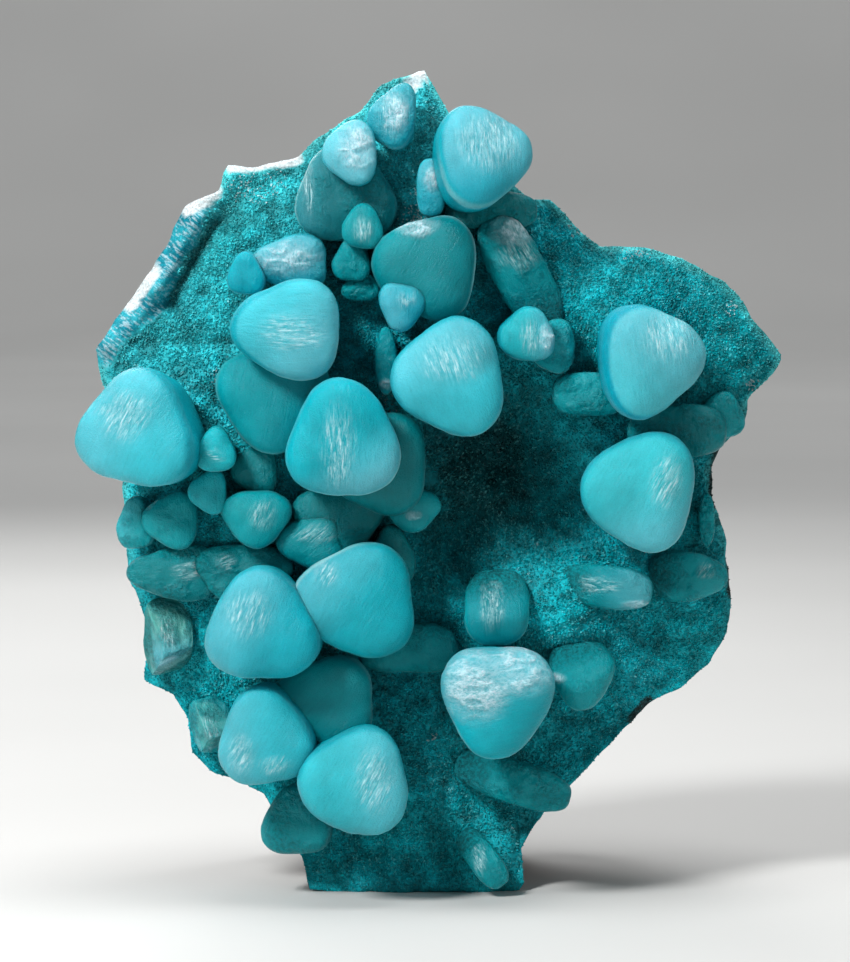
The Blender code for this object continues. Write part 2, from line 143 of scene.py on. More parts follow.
class Look(NamedTuple):
    """What one crystal's head looks like; angles are degrees round the head, 90 is up."""
    side: tuple = TEAL          # colour of its sides
    face: tuple = TURQUOISE     # colour of its front
    pale: tuple = (0, 0.0, 0.0)  # direction, amount and start of the paler part of the front
    rim_glow: tuple = (270, 0.4)     # direction and strength of the pale rim, painted light that shines through the thin edge
    stripes: float = 90.0       # direction that the fine growth lines run in
    silk: tuple = ()            # patches of painted highlight, broken white lines: (across, up, half width, half height)
    frost: tuple = ()           # patches of dense white, in the same form
    shift: tuple = (0.0, 0.0)   # how far the front is moved across the head


BACK = Look(side=DEEP, face=TEAL, rim_glow=(300, 0.3))
# darker teal for crystals that lie behind others: partly their own deep colour, partly painted shade
DEEP_AND_SHADED = Look(side=srgb(0, 108, 114), face=srgb(0, 128, 134), rim_glow=(300, 0.2))
BEAD = Look(side=TEAL, face=srgb(20, 168, 178), rim_glow=(270, 0.5))

ROD_ENDS = (30, 150, 210, 330)  # corners of a crystal that lies like a rod


class Crystal(NamedTuple):
    """One crystal: where its head is seen, the head's half sizes, and how far out it stands.

    Its corners and its turn are degrees round the head, and it leans to the right and up.
    """
    x: float
    z: float
    half_width: float
    half_height: float
    out: float
    corners: tuple = (90, 210, 330)
    turn: float = 0.0
    lean: tuple = (0.0, 0.0)
    stem: float = 0.45          # width of the stem, as a share of the head's
    cleaved: bool = False       # whether broken faces cut it
    sunk: tuple = (0, 0.0)      # direction of the end that the druse covers, and how deep it lies
    look: Look = BACK


CLUSTERS = {
    "crystal_top_tip": [
        Crystal(-3.7, 77.5, 2.3, 3.3, 5, (80, 200, 320), turn=-18, lean=(-0.05, 0.2), look=Look(
            TURQUOISE, AQUA, (90, 0.5, 0.0), silk=((-0.1, 0.1, 0.8, 0.9),),
            frost=((0.15, 0.05, 0.62, 0.75),))),
    ],
    "crystals_top_left": [
        Crystal(-8.6, 69.6, 5.0, 4.8, 4, (100, 215, 330), look=Look(
            DEEP, srgb(0, 118, 126), (180, 0.3, 0.5), rim_glow=(180, 0.9), silk=((-0.72, 0.15, 0.14, 0.7),))),
        Crystal(-7.9, 74.0, 2.7, 3.1, 8, (70, 185, 300), lean=(-0.05, 0.15), look=Look(
            TURQUOISE, PALE, (60, 0.8, -0.4), frost=((0.2, 0.1, 0.8, 0.9),))),
        Crystal(-6.8, 66.5, 2.0, 2.25, 7, (90, 200, 320), look=Look(
            TEAL, srgb(10, 150, 158), rim_glow=(270, 0.3), silk=((0.0, -0.1, 0.6, 0.7),))),
        Crystal(-7.9, 63.2, 1.9, 2.1, 5, (90, 210, 320)),
        Crystal(-7.0, 60.6, 1.8, 1.6, 4, (80, 200, 330)),
    ],
    "crystals_upper_right": [
        Crystal(4.9, 73.6, 4.75, 4.85, 9.5, (6, 118, 258), lean=(0.2, 0.25), look=Look(
            TURQUOISE, AQUA, (90, 0.75, -0.4), rim_glow=(250, 0.5), silk=((0.1, 0.2, 0.8, 0.7),),
            shift=(0.05, 0.0))),
        Crystal(0.0, 70.5, 1.6, 2.75, 5.5, (60, 120, 240, 300), look=Look(
            TURQUOISE, AQUA, (90, 0.6, 0.0), frost=((0.0, 0.3, 0.5, 0.5),))),
        Crystal(6.0, 68.2, 4.4, 2.1, 3.5, ROD_ENDS, look=DEEP_AND_SHADED),
        Crystal(9.0, 61.8, 3.0, 6.0, 4, (60, 120, 240, 300), turn=30, sunk=(300, 2.2), look=Look(
            DEEP, TEAL, rim_glow=(300, 0.3), stripes=120, silk=((-0.1, 0.35, 0.8, 0.3),),
            frost=((-0.2, 0.75, 0.8, 0.3),))),
        Crystal(9.6, 55.7, 2.7, 2.7, 6.5, (80, 190, 330), lean=(0.1, 0.0), look=Look(
            TURQUOISE, srgb(30, 178, 188), (0, 0.8, 0.3), silk=((0.1, 0.0, 0.5, 0.8),),
            frost=((0.7, -0.1, 0.3, 0.6),))),
        Crystal(12.2, 54.7, 2.3, 2.7, 4, (60, 180, 300), look=BEAD),
    ],
    "crystals_upper_middle": [
        Crystal(-0.35, 62.6, 5.15, 5.25, 7, (50, 170, 300), look=Look(
            DEEP, srgb(0, 134, 142), rim_glow=(10, 0.9), stripes=60, frost=((-0.15, 0.75, 0.4, 0.22),))),
        Crystal(-2.9, 58.9, 2.3, 2.6, 8.5, (150, 20, 265), look=Look(
            TURQUOISE, AQUA, (200, 0.5, 0.0), silk=((0.2, 0.2, 0.5, 0.4),))),
    ],
    "crystals_left": [
        Crystal(-14.2, 56.3, 5.2, 5.1, 11.5, (50, 175, 308), lean=(-0.05, 0.0), look=Look(
            TURQUOISE, srgb(60, 186, 200), (320, 0.7, 0.0), rim_glow=(300, 0.8), stripes=0,
            silk=((0.1, -0.05, 0.75, 0.45),), shift=(0.08, 0.0))),
        Crystal(-18.5, 61.8, 1.8, 2.15, 6.5, lean=(-0.1, 0.0), look=Look(
            AQUA, TURQUOISE, rim_glow=(250, 0.7))),
        Crystal(-13.9, 63.0, 3.9, 2.8, 5, (60, 180, 300), look=Look(
            TURQUOISE, AQUA, (90, 0.6, -0.2), frost=((-0.1, 0.2, 0.8, 0.7),))),
        Crystal(-15.7, 49.6, 5.6, 5.2, 7, (40, 150, 270), look=Look(
            TEAL, srgb(0, 150, 160), rim_glow=(225, 0.5), stripes=80)),
        Crystal(-8.8, 45.2, 5.7, 5.75, 13.5, (95, 215, 325), lean=(0.05, 0.0), look=Look(
            TURQUOISE, srgb(0, 164, 178), (305, 1.0, 0.45), rim_glow=(300, 1.0),
            silk=((-0.1, -0.1, 0.35, 0.9),))),
        Crystal(-5.1, 42.8, 5.1, 5.0, 7, (60, 180, 300), look=DEEP_AND_SHADED),
        Crystal(-1.9, 38.4, 2.75, 2.15, 6.5, (20, 150, 270), look=Look(
            DEEP, TEAL, frost=((0.0, -0.25, 0.3, 0.25),))),
        Crystal(-9.1, 37.6, 4.5, 3.3, 5, (30, 150, 270), look=DEEP_AND_SHADED),
        Crystal(-11.7, 35.1, 3.4, 2.9, 5.5, (60, 180, 300), look=Look(
            DEEP, TEAL, silk=((0.0, 0.3, 0.7, 0.4),), stripes=40)),
        Crystal(-3.9, 33.4, 2.3, 3.1, 5.5, look=DEEP_AND_SHADED),
        Crystal(-16.9, 26.4, 5.6, 5.6, 12, (92, 210, 335), lean=(-0.1, 0.0), look=Look(
            TURQUOISE, srgb(8, 166, 182), (150, 0.6, 0.0), rim_glow=(215, 0.6), stripes=70,
            silk=((-0.2, 0.3, 0.5, 0.5),))),
        Crystal(-7.3, 29.1, 5.85, 5.75, 10.5, (60, 175, 315), lean=(0.05, 0.0), look=Look(
            srgb(0, 158, 170), srgb(2, 164, 178), (145, 0.5, 0.3), rim_glow=(150, 1.0), stripes=60,
            silk=((-0.55, 0.55, 0.25, 0.3),), shift=(-0.05, 0.0))),
        Crystal(-2.3, 24.4, 4.8, 2.8, 4, ROD_ENDS),
        Crystal(-19.0, 32.1, 5.0, 2.9, 4, (30, 150, 270), look=Look(
            DEEP, srgb(0, 134, 140), stripes=20, silk=((-0.3, 0.4, 0.25, 0.3),))),
        Crystal(-25.4, 32.0, 4.6, 2.9, 3.5, (60, 180, 300), look=Look(
            DEEP, srgb(0, 134, 140), stripes=10, silk=((0.3, 0.1, 0.45, 0.4),))),
        Crystal(-25.9, 37.3, 2.8, 2.8, 5, (60, 180, 300), look=Look(TEAL, srgb(10, 160, 168))),
        Crystal(-29.6, 36.8, 1.9, 2.6, 4, lean=(-0.2, 0.0), look=Look(
            TEAL, srgb(10, 160, 168), (150, 0.3, 0.0))),
    ],
    "crystal_centre": [
        Crystal(2.0, 51.5, 5.55, 5.65, 12, (77, 180, 305), look=Look(
            TURQUOISE, srgb(50, 184, 198), (110, 0.6, 0.0), rim_glow=(290, 0.5), stripes=110,
            silk=((0.0, 0.35, 0.7, 0.45),))),
    ],
    "crystal_centre_slender": [
        Crystal(-4.5, 53.2, 1.2, 3.1, 5.5, (90, 270), look=Look(
            TEAL, srgb(0, 156, 166), frost=((0.0, -0.75, 0.7, 0.2),))),
    ],
    "crystals_left_edge": [
        Crystal(-29.3, 46.1, 5.85, 5.85, 10, (83, 196, 324), lean=(-0.3, 0.05), look=Look(
            TURQUOISE, srgb(50, 184, 198), (150, 0.6, -0.1), rim_glow=(250, 0.5), stripes=60,
            silk=((-0.1, 0.3, 0.6, 0.5),))),
        Crystal(-21.5, 44.2, 1.95, 2.25, 8.5, look=Look(
            TEAL, srgb(20, 172, 182), silk=((0.0, -0.2, 0.6, 0.3),), stripes=0)),
    ],
    "crystals_left_beads": [
        Crystal(-17.5, 37.6, 3.4, 2.9, 7, (30, 150, 270), look=Look(
            DEEP, TEAL, stripes=70, silk=((0.2, 0.1, 0.45, 0.6),))),
        Crystal(-17.5, 42.3, 2.4, 2.5, 5, (60, 180, 300), look=DEEP_AND_SHADED),
    ],
    "crystal_left_lower_bead": [Crystal(-22.2, 40.1, 1.95, 2.2, 7, (60, 180, 300), look=BEAD)],
    "crystal_broken_side": [
        Crystal(-26.4, 25.4, 2.6, 4.2, 2.5, (45, 135, 225, 315), cleaved=True, look=Look(
            srgb(50, 140, 136), srgb(96, 176, 168), (270, 1.0, 0.0), silk=((0.1, 0.2, 0.4, 0.6),),
            frost=((0.0, -0.75, 0.7, 0.3),))),
    ],
    "crystal_broken_corner": [
        Crystal(-22.1, 16.6, 2.2, 3.0, 2.5, (45, 135, 225, 315), turn=15, cleaved=True, look=Look(
            TEAL, srgb(80, 180, 180), silk=((0.0, 0.0, 0.6, 0.6),))),
    ],
    "crystals_bottom_left": [
        Crystal(-10.6, 18.8, 5.3, 4.7, 7, (60, 180, 300), look=Look(
            DEEP, srgb(0, 142, 150), rim_glow=(20, 0.3), stripes=50)),
        Crystal(-16.65, 15.3, 4.75, 4.9, 10.5, (98, 222, 335), lean=(-0.15, -0.05), look=Look(
            TURQUOISE, srgb(40, 178, 192), (190, 0.6, 0.1), rim_glow=(220, 0.6), stripes=60,
            silk=((-0.45, -0.3, 0.35, 0.5), (0.3, -0.5, 0.4, 0.25)))),
        Crystal(-7.6, 10.9, 5.3, 5.4, 11.5, (65, 178, 318), lean=(0.05, 0.0), look=Look(
            TURQUOISE, srgb(46, 182, 194), (0, 0.5, 0.0), rim_glow=(300, 0.5), stripes=60,
            silk=((0.35, 0.1, 0.45, 0.7),))),
    ],
    "crystal_bottom_left_slab": [Crystal(-13.5, 6.8, 3.4, 3.5, 4, lean=(-0.2, 0.0))],
    "crystals_right_upper": [
        Crystal(21.55, 53.3, 5.35, 5.5, 8.5, (12, 120, 250), lean=(0.15, 0.0), look=Look(
            srgb(0, 156, 176), srgb(72, 188, 200), (60, 0.7, -0.2), rim_glow=(290, 0.4), stripes=100,
            silk=((0.35, 0.45, 0.6, 0.55),), shift=(0.14, 0.0))),
        Crystal(15.8, 49.9, 3.6, 2.4, 3.5, ROD_ENDS),
    ],
    "crystals_right_middle": [
        Crystal(21.05, 40.3, 5.55, 5.85, 8.5, (180, 290, 50), lean=(-0.05, 0.0), look=Look(
            TURQUOISE, srgb(48, 182, 192), (290, 0.7, 0.35), rim_glow=(280, 0.8), stripes=60,
            silk=((0.45, 0.2, 0.35, 0.55),))),
        Crystal(24.5, 46.3, 4.6, 3.0, 3.5, ROD_ENDS, look=DEEP_AND_SHADED),
        Crystal(29.3, 47.6, 2.05, 2.3, 2.5, lean=(0.3, 0.0)),
    ],
    "crystal_right_sliver": [Crystal(27.6, 37.3, 0.9, 2.5, 2, (90, 270))],
    "crystal_right_edge": [
        Crystal(25.9, 31.6, 3.5, 2.6, 3.5, (0, 140, 240), lean=(0.15, 0.0), sunk=(175, 2.6), look=Look(
            DEEP, TEAL, stripes=50, silk=((0.4, 0.25, 0.3, 0.35),))),
    ],
    "crystal_right_rod": [
        Crystal(17.6, 30.5, 4.5, 2.4, 5, ROD_ENDS, turn=-5, lean=(0.1, 0.0), sunk=(180, 2.8), look=Look(
            TEAL, srgb(0, 150, 160), (0, 0.6, 0.2), stripes=0, silk=((-0.2, 0.1, 0.6, 0.4),),
            frost=((0.6, -0.7, 0.35, 0.22),))),
    ],
    "crystal_lower_middle": [
        Crystal(6.65, 19.3, 5.55, 5.6, 12.5, (150, 265, 30), lean=(-0.02, -0.05), stem=0.42, look=Look(
            TURQUOISE, srgb(0, 166, 180), (90, 0.5, 0.3), rim_glow=(260, 0.8), stripes=10,
            frost=((-0.4, 0.3, 0.75, 0.75), (0.3, 0.55, 0.8, 0.5)))),
    ],
    "crystal_lower_middle_stalk": [
        Crystal(6.6, 28.4, 3.2, 3.8, 6.5, (40, 140, 220, 320), sunk=(90, 3.0), look=Look(
            TEAL, srgb(0, 140, 150), silk=((-0.15, 0.1, 0.45, 0.8),))),
    ],
    "crystal_lower_middle_side": [
        Crystal(15.1, 21.8, 3.3, 3.4, 5, (30, 150, 270), sunk=(110, 1.8), look=Look(
            TEAL, srgb(0, 150, 158), rim_glow=(300, 0.4), frost=((-0.75, -0.1, 0.3, 0.16),))),
    ],
    "crystal_lower_right": [Crystal(8.3, 10.8, 5.7, 2.4, 4, ROD_ENDS, turn=-16, sunk=(164, 3.0))],
    "crystal_foot": [
        Crystal(5.2, 3.0, 1.7, 3.1, 5, (60, 120, 240, 300), turn=40, sunk=(130, 2.4), look=Look(
            TEAL, srgb(0, 150, 158), silk=((-0.2, 0.1, 0.5, 0.7),), stripes=120)),
    ],
}

# Crystals: how finely each size is cut, as points round it and rings, and the form of all of them
LARGE_CRYSTAL = 4.5
MEDIUM_CRYSTAL = 2.6
CRYSTAL_GRID = {"large": (96, 58), "medium": (64, 38), "small": (44, 28)}
CRYSTAL_SEED_STEP = 17
CLUSTER_SEEDS = (101, 53)    # the first, and the step from one cluster to the next
CORNER_STRENGTH = 0.105
WIDE_GAP = math.radians(120.0)
ROOT_DEPTH = 3.0
DOME_HEIGHT = 0.5           # as a share of the head's smaller half size
HEAD_RINGS = 0.62           # share of the rings that lie on the front of the head
HEAD_FULLNESS = 0.76        # the lower, the fuller the head, the dome, the stem and the root
DOME_FULLNESS = 0.74
STEM_FULLNESS = 0.85
ROOT_FULLNESS = 1.15
RIDGE_RISE = 0.13
EDGE_UNEVENNESS = 0.022
GROWTH_LUMPS = 0.022
DEEP_GROWTH_LUMPS = 0.03
DEEP_OUT = (3.0, 7.0)       # crystals that stand out less than this lie deep, and more than this don't
FROST_STRETCH = np.array([0.7, 1.0, 1.6])
FROST_RELIEF = 0.14
RIM_GLOW_WIDTH = 0.03
CLEAVAGES = [((0.35, -1.0, 0.55), 0.25), ((-0.9, -0.7, -0.1), 0.45), ((0.5, -0.6, -0.9), 0.7)]


# Large numbers that stir a cell's place and a seed into one fixed value
CELL_STIR = np.array([374761393, 668265263, 2147483647])
SEED_STIR = 974634777
SHIFTS_AND_STIRS = ((13, 1274126177), (16, 668265263))


def lattice_values(cells, seed):
    """A fixed value from -1 to 1 for every whole-numbered cell."""
    stirred = (cells @ CELL_STIR + seed * SEED_STIR) & 0xFFFFFFFF
    for shift, stir in SHIFTS_AND_STIRS:
        stirred = ((stirred ^ (stirred >> shift)) * stir) & 0xFFFFFFFF
    return (stirred & 0xFFFFFF) / float(0x7FFFFF) - 1.0


def smooth_noise(points, size, seed):
    """Soft noise from -1 to 1 whose lumps are about that size."""
    places = np.asarray(points, float) / size
    cells = np.floor(places).astype(np.int64)
    shares = places - cells
    shares = shares * shares * (3.0 - 2.0 * shares)
    total = np.zeros(places.shape[:-1])
    for corner in np.ndindex(2, 2, 2):
        weights = np.where(corner, shares, 1.0 - shares)
        weight = weights[..., 0] * weights[..., 1] * weights[..., 2]
        total += lattice_values(cells + np.array(corner), seed) * weight
    return total


def layered_noise(points, size, seed, layers=3):
    """Noise with ever finer lumps added at half the strength."""
    total = np.zeros(np.asarray(points).shape[:-1])
    for layer in range(layers):
        total += smooth_noise(points, size / 2 ** layer, seed + layer) / 2 ** layer
    return total


def eased(value, low, high):
    """0 below low, 1 above high and a smooth step between."""
    share = np.clip((np.asarray(value, float) - low) / (high - low), 0.0, 1.0)
    return share * share * (3.0 - 2.0 * share)


def mixed(first, second, share):
    """Colours part of the way from the first to the second."""
    share = np.asarray(share, float)[..., None]
    return np.asarray(first, float) * (1.0 - share) + np.asarray(second, float) * share


def along_sight(x, z, out):
    """The place at that distance out which is seen at (x, z) on the crust's plane, and its scale."""
    eye_back = VIEW_DISTANCE * math.cos(VIEW_RISE)
    eye_z = VIEW_HEIGHT + VIEW_DISTANCE * math.sin(VIEW_RISE)
    scale = 1.0 - out / eye_back
    place_x = VIEW_SIDE + (x - VIEW_SIDE) * scale
    place_z = eye_z + (z - eye_z) * scale
    return Vector((place_x, CRUST_PLANE_Y - out, place_z)), scale


def forms_height(forms, x, z):
    """How far the swells and ridges lift the surface at each (x, z)."""
    total = np.zeros(np.shape(x))
    for form in forms:
        if isinstance(form, Swell):
            across = (x - form.x) / form.reach_x
            up = (z - form.z) / form.reach_z
            total = total + form.height * np.exp(-across * across - up * up)
            continue
        start_x, start_z = form.start
        along_x, along_z = form.end[0] - start_x, form.end[1] - start_z
        share = ((x - start_x) * along_x + (z - start_z) * along_z) / (along_x ** 2 + along_z ** 2)
        share = np.clip(share, 0.0, 1.0)
        away = np.hypot(x - start_x - along_x * share, z - start_z - along_z * share)
        total = total + form.height * np.exp(-((away / form.width) ** 2))
    return total


def add_mesh(name, points, face_sets, smooth, colours=None, values=None):
    """A mesh object from arrays of points and faces, with the colours and values of its points."""
    data = bpy.data.meshes.new(name)
    data.vertices.add(len(points))
    data.vertices.foreach_set("co", (np.asarray(points) * MM).astype(np.float32).ravel())
    loops = np.concatenate([faces.ravel() for faces in face_sets])
    totals = np.concatenate([np.full(len(faces), faces.shape[1]) for faces in face_sets])
    starts = np.concatenate([[0], np.cumsum(totals)[:-1]])
    data.loops.add(len(loops))
    data.loops.foreach_set("vertex_index", loops.astype(np.int32))
    data.polygons.add(len(totals))
    data.polygons.foreach_set("loop_start", starts.astype(np.int32))
    data.polygons.foreach_set("loop_total", totals.astype(np.int32))
    data.polygons.foreach_set("use_smooth", np.full(len(totals), smooth))
    data.update(calc_edges=True)
    if colours is not None:
        layer = data.attributes.new("tint", "FLOAT_COLOR", "POINT")
        full = np.column_stack([np.clip(colours, 0.0, 1.0), np.ones(len(points))])
        layer.data.foreach_set("color", full.astype(np.float32).ravel())
    for key, numbers in (values or {}).items():
        kind, field = ("FLOAT", "value") if numbers.ndim == 1 else ("FLOAT_VECTOR", "vector")
        layer = data.attributes.new(key, kind, "POINT")
        layer.data.foreach_set(field, numbers.astype(np.float32).ravel())
    made = bpy.data.objects.new(name, data)
    bpy.context.scene.collection.objects.link(made)
    return made


def capped_grid(rings, sides):
    """Faces of rings of points with one point before the first ring and one after the last."""
    ring = np.arange(rings - 1)[:, None] * sides + 1
    side = np.arange(sides)[None, :]
    after = (side + 1) % sides
    quads = np.stack([ring + side, ring + sides + side, ring + sides + after, ring + after], -1)
    first = np.stack([np.zeros(sides, int), 1 + np.arange(sides), 1 + (np.arange(sides) + 1) % sides], -1)
    start = 1 + (rings - 1) * sides
    last_point = 1 + rings * sides
    last = np.stack([
        np.full(sides, last_point), start + (np.arange(sides) + 1) % sides, start + np.arange(sides)], -1)
    return quads.reshape(-1, 4), np.concatenate([first, last])


def corner_swell(angles, corners, strength=CORNER_STRENGTH):
    """Radius of a rounded outline that reaches furthest at its corners."""
    turns = sorted(math.radians(corner) % math.tau for corner in corners)
    radius = np.ones(np.shape(angles))
    for index, start in enumerate(turns):
        gap = (turns[(index + 1) % len(turns)] - start) % math.tau or math.tau
        ahead = (angles - start) % math.tau
        inside = ahead < gap
        dip = strength * min(gap / WIDE_GAP, 1.0) ** 2
        swell = 1.0 + strength - dip * (1.0 - np.cos(math.tau * ahead / gap))
        radius = np.where(inside, swell, radius)
    return radius


def crystal_size(crystal):
    """The name of the crystal's size class."""
    reach = max(crystal.half_width, crystal.half_height)
    if reach > LARGE_CRYSTAL:
        return "large"
    return "medium" if reach > MEDIUM_CRYSTAL else "small"


def crystal_frame(crystal):
    """The head's centre, its scale, and the directions outward, right and up."""
    centre, scale = along_sight(crystal.x, crystal.z, crystal.out)
    outward = Vector((crystal.lean[0], -1.0, crystal.lean[1])).normalized()
    right = Vector((0.0, 0.0, 1.0)).cross(-outward).normalized()
    right = -right if right.x < 0 else right
    up = right.cross(-outward).normalized()
    up = -up if up.z < 0 else up
    return centre, scale, outward, right, up


def patches(across, up, spots):
    """1 in the middle of each patch and 0 outside them."""
    total = np.zeros(len(across))
    for spot_x, spot_z, half_x, half_z in spots:
        distance = np.hypot((across - spot_x) / half_x, (up - spot_z) / half_z)
        total = np.maximum(total, 1.0 - eased(distance, 0.3, 1.1))
    return total


def turned(x, z, degrees):
    """The places (x, z) turned round the middle."""
    turn = math.radians(degrees)
    return x * math.cos(turn) - z * math.sin(turn), x * math.sin(turn) + z * math.cos(turn)


class Surface(NamedTuple):
    """A crystal's points, and where each of them lies on the head."""
    points: np.ndarray
    away: np.ndarray        # direction of growth
    right: np.ndarray       # millimetres across, up and in front of the rim
    up: np.ndarray
    ahead: np.ndarray
    share_x: np.ndarray     # the same as shares of the head's half sizes
    share_z: np.ndarray
    edge: np.ndarray        # 0 in the middle of the head and 1 at its rim
    sunk: np.ndarray        # 1 at the end that the druse covers
    reach: float
    depth: float


def deepness(crystal):
    """1 for a crystal that lies deep between the others, 0 for one that stands out."""
    return 1.0 - eased(crystal.out, *DEEP_OUT)


def crystal_surface(crystal, seed):
    """The shape: a domed head with soft corners, on a stem that goes down into the crust."""
    sides, rings = CRYSTAL_GRID[crystal_size(crystal)]
    centre, scale, outward, right_axis, up_axis = crystal_frame(crystal)
    reach = min(crystal.half_width, crystal.half_height) * scale
    depth = crystal.out - float(forms_height(BED_FORMS, crystal.x, crystal.z)) + ROOT_DEPTH
    front_rings = int(rings * HEAD_RINGS)
    front = np.linspace(0.0, 1.0, front_rings + 1)[1:] ** 0.8 * (math.pi / 2)
    back = np.linspace(0.0, 1.0, rings - front_rings + 1)[1:]
    narrowing = np.cos(np.minimum(back, 0.98) * math.pi / 2) ** STEM_FULLNESS
    radius = np.concatenate([
        np.sin(front) ** HEAD_FULLNESS, crystal.stem + (1.0 - crystal.stem) * narrowing])
    dome = DOME_HEIGHT * reach * np.maximum(np.cos(front), 0.0) ** DOME_FULLNESS
    height = np.concatenate([dome, -depth * back ** ROOT_FULLNESS])
    angles = np.arange(sides) / sides * math.tau
    around = np.stack([np.cos(angles), np.sin(angles), np.full(sides, seed * 0.5)], -1)
    outline = corner_swell(angles, crystal.corners)
    outline = outline + EDGE_UNEVENNESS * layered_noise(around, 0.8, seed + 5, 2)
    across = np.outer(radius, np.cos(angles) * outline)
    rise = np.outer(radius, np.sin(angles) * outline)
    # soft ridges run from the middle of the head to its corners, between three low faces
    ridge = (outline - 1.0) / CORNER_STRENGTH
    low_face = np.concatenate([np.sin(front) ** 1.5, np.zeros(len(back))])
    ahead = height[:, None] * (1.0 + RIDGE_RISE * np.outer(low_face, ridge))
    across, rise = (np.concatenate([[0.0], values.ravel(), [0.0]]) for values in (across, rise))
    ahead = np.concatenate([[DOME_HEIGHT * reach], ahead.ravel(), [-depth - 0.2]])
    sunk = turned(across, rise, crystal.turn - crystal.sunk[0])[0]
    ahead = ahead - crystal.sunk[1] * eased(sunk, -0.3, 1.0)
    half_width, half_height = crystal.half_width * scale, crystal.half_height * scale
    right, up = turned(across * half_width, rise * half_height, crystal.turn)
    points = np.array(centre) + np.stack([right, up, ahead], -1) @ np.array([right_axis, up_axis, outward])

    # uneven growth: slow swells and small steps along the crystal's own outward lines
    away = points - (np.array(centre) - np.array(outward) * reach * 0.5)
    away /= np.linalg.norm(away, axis=1, keepdims=True)
    lumps = reach * (GROWTH_LUMPS + DEEP_GROWTH_LUMPS * deepness(crystal))
    swell = layered_noise(points, reach * 0.8, seed, 3) * lumps
    rough_edge = eased(np.hypot(across, rise), 0.7, 0.95)
    swell = swell + 0.05 * rough_edge * layered_noise(points, 1.0, seed + 3, 2)
    edge = np.concatenate([[0.0], np.repeat(radius, sides), [crystal.stem]])
    return Surface(points + away * swell[:, None], away, right, up, ahead,
                   right / half_width, up / half_height, edge, sunk, reach, depth)


def crystal_arrays(crystal, seed):
    """Points, colours, growth lines and surface values of one crystal."""
    at = crystal_surface(crystal, seed)
    look, reach = crystal.look, at.reach
    moved = (at.right * look.shift[0] + at.up * look.shift[1]) / reach
    face = (1.0 - eased(at.edge - moved, 0.91, 1.0)) * (at.ahead > -0.25 * reach)
    pale_turn, pale_amount, pale_start = look.pale
    toward_pale = turned(at.share_x, at.share_z, -pale_turn)[0]
    pale = eased(toward_pale, pale_start - 0.5, pale_start + 0.6) * pale_amount
    # the pale rim is painted light that shines through the thin edge of the head
    rim_side = np.cos(np.arctan2(at.up, at.right) - math.radians(look.rim_glow[0]))
    rim_glow = np.exp(-(((at.edge - 1.0) / RIM_GLOW_WIDTH) ** 2)) * (at.ahead > -0.12 * reach)
    rim_glow = rim_glow * (0.15 + 0.85 * eased(rim_side, 0.1, 0.95)) * look.rim_glow[1]
    cloudy = layered_noise(at.points, reach * 0.5, seed + 9, 3)
    colours = mixed(mixed(look.side, look.face, face), PALE, pale * face)
    colours = mixed(colours, RIM_GLOW, rim_glow) * (1.0 + 0.13 * cloudy[:, None])

    visible = at.ahead > -0.4 * reach
    # patches of painted highlight: silky white lines
    silk = patches(at.share_x, at.share_z + 0.1 * cloudy, look.silk) * visible
    frost = patches(at.share_x + 0.12 * cloudy, at.share_z, look.frost) * visible
    scallops = 1.0 - 2.0 * np.abs(layered_noise(at.points * FROST_STRETCH, 1.5, seed + 13, 2))
    points = at.points + at.away * (frost * FROST_RELIEF * scallops)[:, None] + SHIFT
    frost = frost * (0.45 + 0.55 * eased(scallops, 0.0, 0.8))

    # druse coats the root, the sunk end and part of the crystals that lie deep, and the root is darkened
    # below with painted shade
    root = eased(-at.ahead, at.depth * 0.25, at.depth * 0.9)
    sunk_end = eased(at.sunk, 0.0, 0.9) * (crystal.sunk[1] > 0.0)
    deep = 0.7 * deepness(crystal) * eased(cloudy, -0.5, 0.6)
    coat = np.maximum(np.maximum(root, sunk_end), deep)
    colours = mixed(colours, COAT, coat * 0.7) * (1.0 - 0.45 * root[:, None])
    along, across = turned(at.right, at.up, -look.stripes)
    lines = np.column_stack([across, along, at.ahead]) + seed * 7.31
    return points, colours, lines, {"frost": frost, "silk": silk, "coat": coat}


def cleave(points, crystal):
    """Presses the points beyond each broken face down onto it."""
    centre, scale, *_ = crystal_frame(crystal)
    middle = np.array(centre) + SHIFT
    reach = min(crystal.half_width, crystal.half_height) * scale
    for direction, share in CLEAVAGES:
        normal = np.array(Vector(direction).normalized())
        beyond = (points - middle[None, :]) @ normal - reach * share
        points = points - np.maximum(beyond, 0.0)[:, None] * normal[None, :]
    return points


def build_cluster(name, crystals, material, first_seed):
    """One piece that holds all the crystals of a cluster."""
    parts, quads, triangles, count = [], [], [], 0
    for number, crystal in enumerate(crystals):
        points, *others = crystal_arrays(crystal, first_seed + number * CRYSTAL_SEED_STEP)
        if crystal.cleaved:
            points = cleave(points, crystal)
        sides, rings = CRYSTAL_GRID[crystal_size(crystal)]
        square, three = capped_grid(rings, sides)
        quads.append(square + count)
        triangles.append(three + count)
        count += len(points)
        parts.append((points, *others))
    points, colours, lines = (np.concatenate([part[index] for part in parts]) for index in range(3))
    values = {key: np.concatenate([part[3][key] for part in parts]) for key in parts[0][3]}
    made = add_mesh(name + "_detail", points, [np.concatenate(quads), np.concatenate(triangles)], True,
                    colours, {**values, "lines": lines})
    made.data.materials.append(material)
    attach(made, "root")
    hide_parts(name)


# Crust: how finely it is cut, and its edge
CRUST_SIDES = 440
CRUST_FRONT_RINGS = 96
CRUST_WALL_RINGS = 9
CRUST_BACK_RINGS = 5
RAGGED_EDGE = 0.006         # as a share of the distance from the crust's centre

# Relief of the crust, in millimetres
ROOT_MOUND = 0.7
CRUST_LUMPS = 0.22
CRUST_LUMP_WIDTH = 3.2
CLUMP_HEIGHT = 0.17
CLUMP_WIDTH = 1.2
BREAK_DEPTH = 0.25
STREAK_DEPTH = 0.2


